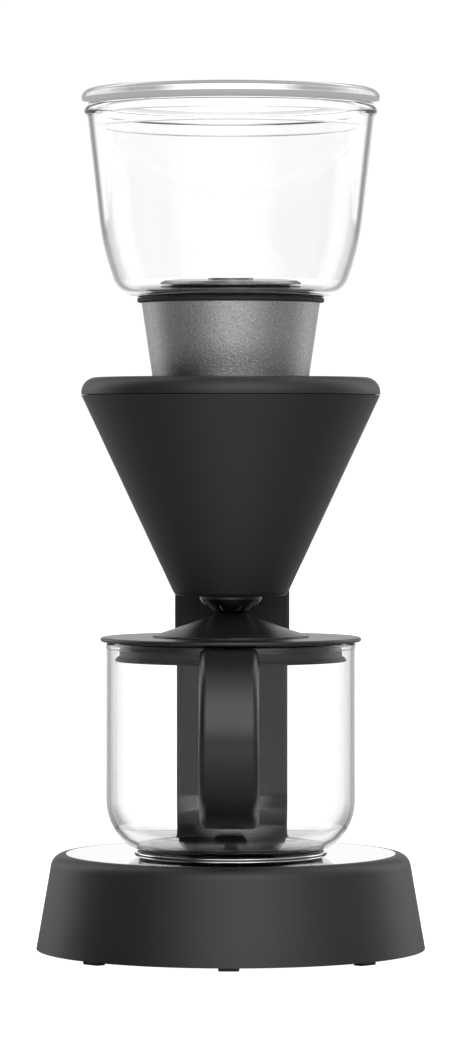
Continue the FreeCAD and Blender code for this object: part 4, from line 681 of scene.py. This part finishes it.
class BREWER_OT_base(bpy.types.Operator):
    """Casing, feet, bottom cover and screws of the base"""
    bl_idname = "brewer.base"
    bl_label = "Base"

    def execute(self, context):
        shape = settings()[1]
        smooth_copy("base_shell", "black_plastic", "root")
        smooth_copy("base_bottom_cover", "inner_plastic", "root")
        low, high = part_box("base_feet")
        half_wide = shape.foot_wide / 2
        half_deep = shape.foot_deep / 2
        foot = rounded_block("foot", Vector((shape.foot_radius - half_deep, -half_wide, low.z)),
                             Vector((shape.foot_radius + half_deep, half_wide, high.z)), shape.foot_round)
        finished("rubber_feet", ring_of("rubber_feet", foot, shape.foot_count, "rubber"), "rubber", "root",
                 ["base_feet"])
        dress("zinc_steel", "base_screws")
        return {"FINISHED"}


class BREWER_OT_plates(bpy.types.Operator):
    """Mirror plate, warming plate and its seal"""
    bl_idname = "brewer.plates"
    bl_label = "Plates"

    def execute(self, context):
        smooth_copy("trim_plate", "mirror_steel", "root")
        smooth_copy("warming_plate", "coated_plate", "root")
        smooth_copy("plate_seal", "rubber", "root")
        return {"FINISHED"}


class BREWER_OT_insides(bpy.types.Operator):
    """Heater, electrics, hoses and ducts inside the casings"""
    bl_idname = "brewer.insides"
    bl_label = "Insides"

    def execute(self, context):
        dress("cast_aluminium", "heater_casting")
        dress("zinc_steel", "heater_element", "heater_clamp", "heater_screws", "thermal_fuse",
              "hose_clamps", "head_screws")
        dress("inner_plastic", "thermostat", "terminal_block", "check_valve", "gland_nut", "head_floor",
              "feed_duct", "riser_duct")
        dress("circuit_board", "control_board")
        dress("plate_steel", "spray_plate")
        for node in ("feed_hose", "riser_hose", "heater_inlet_hose", "socket_hose"):
            smooth_copy(node, "hose", "root")
        return {"FINISHED"}


class BREWER_OT_column(bpy.types.Operator):
    """Upright, its rear cover, the switch and the cord gland"""
    bl_idname = "brewer.column"
    bl_label = "Column"

    def execute(self, context):
        smooth_copy("column_shell", "black_plastic", "root")
        smooth_copy("column_rear_cover", "black_plastic", "root")
        smooth_copy("column_screws", "zinc_steel", "root")
        smooth_copy("switch_housing", "satin_black", "root")
        smooth_copy("switch_rocker", "gloss_black", "switch", sharp=math.radians(25))
        smooth_copy("cord_gland", "black_plastic", "root")
        return {"FINISHED"}


class BREWER_OT_head(bpy.types.Operator):
    """Head cap, collar, its seal and the tank socket"""
    bl_idname = "brewer.head"
    bl_label = "Head and collar"

    def execute(self, context):
        shape = settings()[1]
        smooth_copy("head_housing", "black_plastic", "root")
        low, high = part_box("collar")
        foot_top = low.z + shape.collar_foot_thick
        inside_mouth, above_ledge, under_ledge, above_foot = 0.0434, 0.0425, 0.0418, 0.0382
        turned("collar_blasted", [
            (shape.collar_hole, low.z), (shape.collar_foot, low.z), (shape.collar_mouth, high.z),
            (inside_mouth, high.z), (above_ledge, shape.ledge_top), (shape.ledge_radius, shape.ledge_top),
            (shape.ledge_radius, shape.ledge_low), (under_ledge, shape.ledge_low), (above_foot, foot_top),
            (shape.collar_hole, foot_top)],
            "blasted_aluminium", "root", ["collar"], edge=0.0003)
        smooth_copy("collar_seal", "rubber", "root")
        smooth_copy("tank_socket", "inner_plastic", "root")
        dress("rubber", "socket_oring")
        return {"FINISHED"}


class BREWER_OT_tank(bpy.types.Operator):
    """Glass tank with its outlet and valve"""
    bl_idname = "brewer.tank"
    bl_label = "Tank"

    def execute(self, context):
        shape = settings()[1]
        low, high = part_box("tank_bowl")
        wall = shape.tank_wall

        def side(inset):
            return glass_wall(low.z, shape.tank_belly, shape.tank_heel, shape.tank_turn, shape.tank_flare,
                              shape.tank_waist, inset)

        drop = 0.005
        waist_z = side(0.0)[2][1]
        rim_r = shape.tank_waist + (high.z - drop - waist_z) * math.tan(shape.tank_flare)
        turned("tank_glass", [
            (shape.tank_hole, low.z), *rising(side(0.0)),
            *rim(rim_r, high.z, wall, drop, inner_drop=0.0019, inner_round=0.0024),
            *falling(side(wall)), (shape.tank_hole, low.z + wall)],
            "clear_glass", "tank", ["tank_bowl"])
        smooth_copy("tank_gasket", "rubber", "tank")
        smooth_copy("tank_outlet_plate", "dark_steel", "tank")
        smooth_copy("tank_outlet_cap", "dark_steel", "tank")
        smooth_copy("tank_outlet_body", "inner_plastic", "tank")
        smooth_copy("tank_nut", "inner_plastic", "tank")
        dress("inner_plastic", "tank_valve_poppet")
        dress("zinc_steel", "tank_valve_spring")
        return {"FINISHED"}


class BREWER_OT_tank_lid(bpy.types.Operator):
    """Glass lid of the tank"""
    bl_idname = "brewer.tank_lid"
    bl_label = "Tank lid"

    def execute(self, context):
        shape = settings()[1]
        low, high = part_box("tank_lid")
        bead = shape.lid_bead
        middle_r = high.x - bead
        middle_z = high.z - bead
        top = shape.lid_top
        plug = shape.lid_plug
        plug_in = plug - shape.lid_plug_wall
        half = shape.lid_plug_wall / 2
        inside = shape.lid_round
        meet_z = middle_z - math.sqrt(bead ** 2 - (plug - middle_r) ** 2)
        meet_r = middle_r - math.sqrt(bead ** 2 - (top - middle_z) ** 2)
        under = top - shape.lid_thick
        turned("tank_lid_glass", [
            (0.0, under), (plug_in - inside, under), (plug_in, under - inside, inside, RIGHT),
            (plug_in, low.z + half), (plug_in + half, low.z, half, LEFT), (plug, low.z + half, half, LEFT),
            (plug, meet_z), (high.x, middle_z, bead, LEFT), (middle_r, high.z, bead, LEFT),
            (meet_r, top, bead, LEFT), (0.0, top)],
            "lid_glass", "tank_cover", ["tank_lid"])
        return {"FINISHED"}


class BREWER_OT_filter(bpy.types.Operator):
    """Filter holder, basket and drip stop"""
    bl_idname = "brewer.filter"
    bl_label = "Filter holder"

    def execute(self, context):
        smooth_copy("filter_cone", "black_plastic", "filter_holder")
        smooth_copy("filter_basket", "inner_plastic", "filter_holder")
        smooth_copy("drip_dome", "gloss_black", "filter_holder")
        dress("rubber", "drip_seal")
        smooth_copy("drip_plunger", "gloss_black", "drip_stop")
        dress("zinc_steel", "drip_spring")
        return {"FINISHED"}


class BREWER_OT_carafe(bpy.types.Operator):
    """Glass carafe with its handle"""
    bl_idname = "brewer.carafe"
    bl_label = "Carafe"

    def execute(self, context):
        shape = settings()[1]
        low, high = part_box("carafe_glass")
        wall = shape.carafe_wall

        def side(inset):
            return glass_wall(low.z, shape.carafe_belly, shape.carafe_heel, shape.carafe_turn, 0.0,
                              shape.carafe_radius, inset)

        under_middle, under_edge, over_middle, over_edge = 0.0014, 0.0012, 0.0012, 0.001
        turned("carafe_jug", [
            (0.0, low.z + under_middle), (shape.raise_radius, low.z + under_edge),
            (shape.stand_ring, low.z), *rising(side(0.0)),
            *rim(shape.carafe_radius, high.z, wall, drop=0.0034, inner_drop=0.0014, inner_round=0.0015),
            *falling(side(wall)),
            (shape.raise_radius, low.z + wall + over_edge), (0.0, low.z + wall + over_middle)],
            "clear_glass", "carafe", ["carafe_glass"])
        smooth_copy("carafe_handle", "satin_black", "carafe")
        smooth_copy("handle_pads", "rubber", "carafe")
        return {"FINISHED"}


class BREWER_OT_carafe_lid(bpy.types.Operator):
    """Disc, funnel insert, plug ring and gasket of the carafe's lid"""
    bl_idname = "brewer.carafe_lid"
    bl_label = "Carafe lid"

    def execute(self, context):
        smooth_copy("carafe_lid_disc", "satin_black", "carafe_lid")
        smooth_copy("carafe_lid_funnel", "satin_black", "carafe_lid")
        smooth_copy("carafe_lid_plug", "black_plastic", "carafe_lid")
        smooth_copy("lid_gasket", "rubber", "carafe_lid")
        return {"FINISHED"}


class BREWER_OT_stage(bpy.types.Operator):
    """Floor, studio light and camera"""
    bl_idname = "brewer.stage"
    bl_label = "Stage"

    def execute(self, context):
        make_floor()
        make_world()
        make_camera()
        context.scene.view_settings.view_transform = "Standard"
        return {"FINISHED"}


# ---------------------------------------------------------------- stage
def choose(tree, switch, off, on):
    """`off` or `on`, sockets or numbers, by a switch of 0 or 1."""
    mix = add(tree, "ShaderNodeMix", data_type="FLOAT")
    tree.links.new(switch, mix.inputs[0])
    for number, side in ((2, off), (3, on)):
        if isinstance(side, (int, float)):
            mix.inputs[number].default_value = side
        else:
            tree.links.new(side, mix.inputs[number])
    return mix.outputs[0]


def seen_or(tree, other):
    """The backdrop's even white to the camera, and another brightness to every other ray."""
    seen = add(tree, "ShaderNodeLightPath").outputs["Is Camera Ray"]
    return choose(tree, seen, other, settings()[2].backdrop)


def make_floor():
    """A floor that is white to the camera; other rays see a strip behind and a lit patch in front."""
    finish, _, studio = settings()
    mesh = bpy.data.meshes.new("floor")
    half = 8.0
    mesh.from_pydata([(-half, -half, 0), (half, -half, 0), (half, half, 0), (-half, half, 0)], [],
                     [(0, 1, 2, 3)])
    made = Finish("studio_floor", Emission_Color=(1.0, 1.0, 1.0))
    made.tint(made.effect("handling", "Mask", Amount=0.3), finish.floor, scaled(finish.floor, 0.97))
    made.roughness(made.effect("handling", "Mask", Amount=0.3), 0.9, 0.8)
    tree = made.tree
    away = add(tree, "ShaderNodeVectorMath", operation="DISTANCE")
    tree.links.new(made.place, away.inputs[0])
    patch_middle, patch_core, patch_edge = (0.05, -0.7, 0.0), 0.1, 0.6
    away.inputs[1].default_value = patch_middle
    lit = spread(tree, away.outputs["Value"], patch_core, patch_edge, studio.patch, 0.0)
    parts = add(tree, "ShaderNodeSeparateXYZ")
    tree.links.new(made.place, parts.inputs[0])
    aside = calculate(tree, "ABSOLUTE", parts.outputs["X"])
    width = calculate(tree, "MULTIPLY", parts.outputs["Y"], math.tan(studio.window))
    past = calculate(tree, "DIVIDE", calculate(tree, "SUBTRACT", aside, width), parts.outputs["Y"])
    strip_core, strip_edge, floor_share = 0.02, 0.16, 0.6
    strip = spread(tree, past, strip_core, strip_edge, studio.behind, studio.dim * floor_share)
    fade_start, fade_end = 0.12, 0.5
    fade = spread(tree, parts.outputs["Y"], fade_start, fade_end, 0.0, 1.0)
    behind = calculate(tree, "MULTIPLY", strip, fade)
    made.drive("Emission Strength", seen_or(tree, calculate(tree, "ADD", lit, behind)))
    mesh.materials.append(made.material)
    floor = bpy.data.objects.new("studio_floor", mesh)
    bpy.context.scene.collection.objects.link(floor)


def lobe(tree, way, azimuth, half, soft):
    """1 within `half` of an azimuth (0 = front, positive to the right), falling to 0 over `soft`."""
    turn = calculate(tree, "ARCTAN2", way.outputs["X"], calculate(tree, "MULTIPLY", way.outputs["Y"], -1.0))
    apart = calculate(tree, "SUBTRACT", turn, azimuth)
    apart = calculate(tree, "ARCCOSINE", calculate(tree, "COSINE", apart))
    return spread(tree, apart, half, half + soft, 1.0, 0.0)


def light_behind(tree, way, studio):
    """A white window straight behind, dim beside it, with a bright strip on each side."""
    window = lobe(tree, way, math.pi, studio.window, studio.window_edge)
    level_core, level_edge = 0.3, 0.5
    slope = calculate(tree, "ABSOLUTE", way.outputs["Z"])
    level = spread(tree, slope, level_core, level_edge, 1.0, 0.0)
    far_start, far_end = 0.1, 0.6
    far = spread(tree, way.outputs["Y"], far_start, far_end, 0.0, 1.0)
    light = choose(tree, calculate(tree, "MULTIPLY", window, level),
                   calculate(tree, "MULTIPLY", far, studio.dim), studio.behind)
    for side in (1, -1):
        wing = lobe(tree, way, side * studio.wing_turn, studio.wing_spread, studio.wing_spread)
        light = calculate(tree, "ADD", light, calculate(tree, "MULTIPLY", wing, studio.wings))
    return light


def light_in_front(tree, way, studio):
    """A soft box above the camera, weaker below the horizon and overhead."""
    core_share = 0.4
    box = lobe(tree, way, studio.shift, studio.spread * core_share, studio.spread)
    low_edge, low_full, low_share = 0.06, 0.2, 0.12
    above = spread(tree, way.outputs["Z"], low_edge, low_full, low_share, 1.0)
    high_edge, high_end, high_share = 0.75, 0.95, 0.5
    ceiling = spread(tree, way.outputs["Z"], high_edge, high_end, 1.0, high_share)
    light = calculate(tree, "MULTIPLY", calculate(tree, "MULTIPLY", box, above), studio.front)
    return calculate(tree, "MULTIPLY", light, ceiling)


def make_world():
    """White behind; a soft box above the camera, a weak fill at the right and darkness between them."""
    studio = settings()[2]
    world = bpy.data.worlds.new("studio")
    bpy.context.scene.world = world
    world.use_nodes = True
    tree = world.node_tree
    background = tree.nodes["Background"]
    way = add(tree, "ShaderNodeSeparateXYZ")
    tree.links.new(add(tree, "ShaderNodeTexCoord").outputs["Generated"], way.inputs[0])
    fill = lobe(tree, way, studio.right_turn, studio.right_spread, studio.right_edge)
    weak = calculate(tree, "ADD", calculate(tree, "MULTIPLY", fill, studio.right), studio.ambient)
    strong = calculate(tree, "ADD", light_behind(tree, way, studio), light_in_front(tree, way, studio))
    light = calculate(tree, "ADD", strong, weak)
    tree.links.new(seen_or(tree, light), background.inputs["Strength"])
    background.inputs["Color"].default_value = (1.0, 1.0, 1.0, 1.0)


def make_camera():
    """A long lens in front, a little higher than the middle of the brewer."""
    studio = settings()[2]
    data = bpy.data.cameras.new("camera")
    data.lens = studio.focal
    data.sensor_width = 36.0
    data.sensor_fit = "AUTO"
    data.clip_end = 30.0
    camera = bpy.data.objects.new("camera", data)
    place = Vector((math.sin(studio.turn) * studio.distance, -math.cos(studio.turn) * studio.distance,
                    studio.height))
    aim = Vector((studio.aside, 0.0, studio.aim))
    camera.location = place
    camera.rotation_euler = (aim - place).to_track_quat("-Z", "Y").to_euler()
    bpy.context.scene.collection.objects.link(camera)
    bpy.context.scene.camera = camera


# ---------------------------------------------------------------- panel and run
class BREWER_PT_panel(bpy.types.Panel):
    """Lists the pieces in the order that they are made"""
    bl_idname = "BREWER_PT_panel"
    bl_label = "Brewer"
    bl_space_type = "VIEW_3D"
    bl_region_type = "UI"
    bl_category = "Brewer"

    def draw(self, context):
        for operator in OPERATORS:
            self.layout.operator(operator.bl_idname)
        for group in (context.scene.brewer_finish, context.scene.brewer_shape, context.scene.brewer_studio):
            for name in group.__annotations__:
                self.layout.prop(group, name)


OPERATORS = (BREWER_OT_materials, BREWER_OT_stage, BREWER_OT_base, BREWER_OT_plates, BREWER_OT_insides,
             BREWER_OT_column, BREWER_OT_head, BREWER_OT_tank, BREWER_OT_tank_lid, BREWER_OT_filter,
             BREWER_OT_carafe, BREWER_OT_carafe_lid)
GROUPS = (BREWER_PG_finish, BREWER_PG_shape, BREWER_PG_studio)


def register():
    for made in (*GROUPS, *OPERATORS, BREWER_PT_panel):
        bpy.utils.register_class(made)
    bpy.types.Scene.brewer_finish = PointerProperty(type=BREWER_PG_finish)
    bpy.types.Scene.brewer_shape = PointerProperty(type=BREWER_PG_shape)
    bpy.types.Scene.brewer_studio = PointerProperty(type=BREWER_PG_studio)


def unregister():
    del bpy.types.Scene.brewer_studio
    del bpy.types.Scene.brewer_shape
    del bpy.types.Scene.brewer_finish
    for made in reversed((*GROUPS, *OPERATORS, BREWER_PT_panel)):
        bpy.utils.unregister_class(made)


def run(operator):
    """Calls one operator by its name."""
    family, name = operator.bl_idname.split(".")
    getattr(getattr(bpy.ops, family), name)()


def main():
    register()
    for operator in OPERATORS:
        run(operator)


if __name__ == "__main__":
    main()
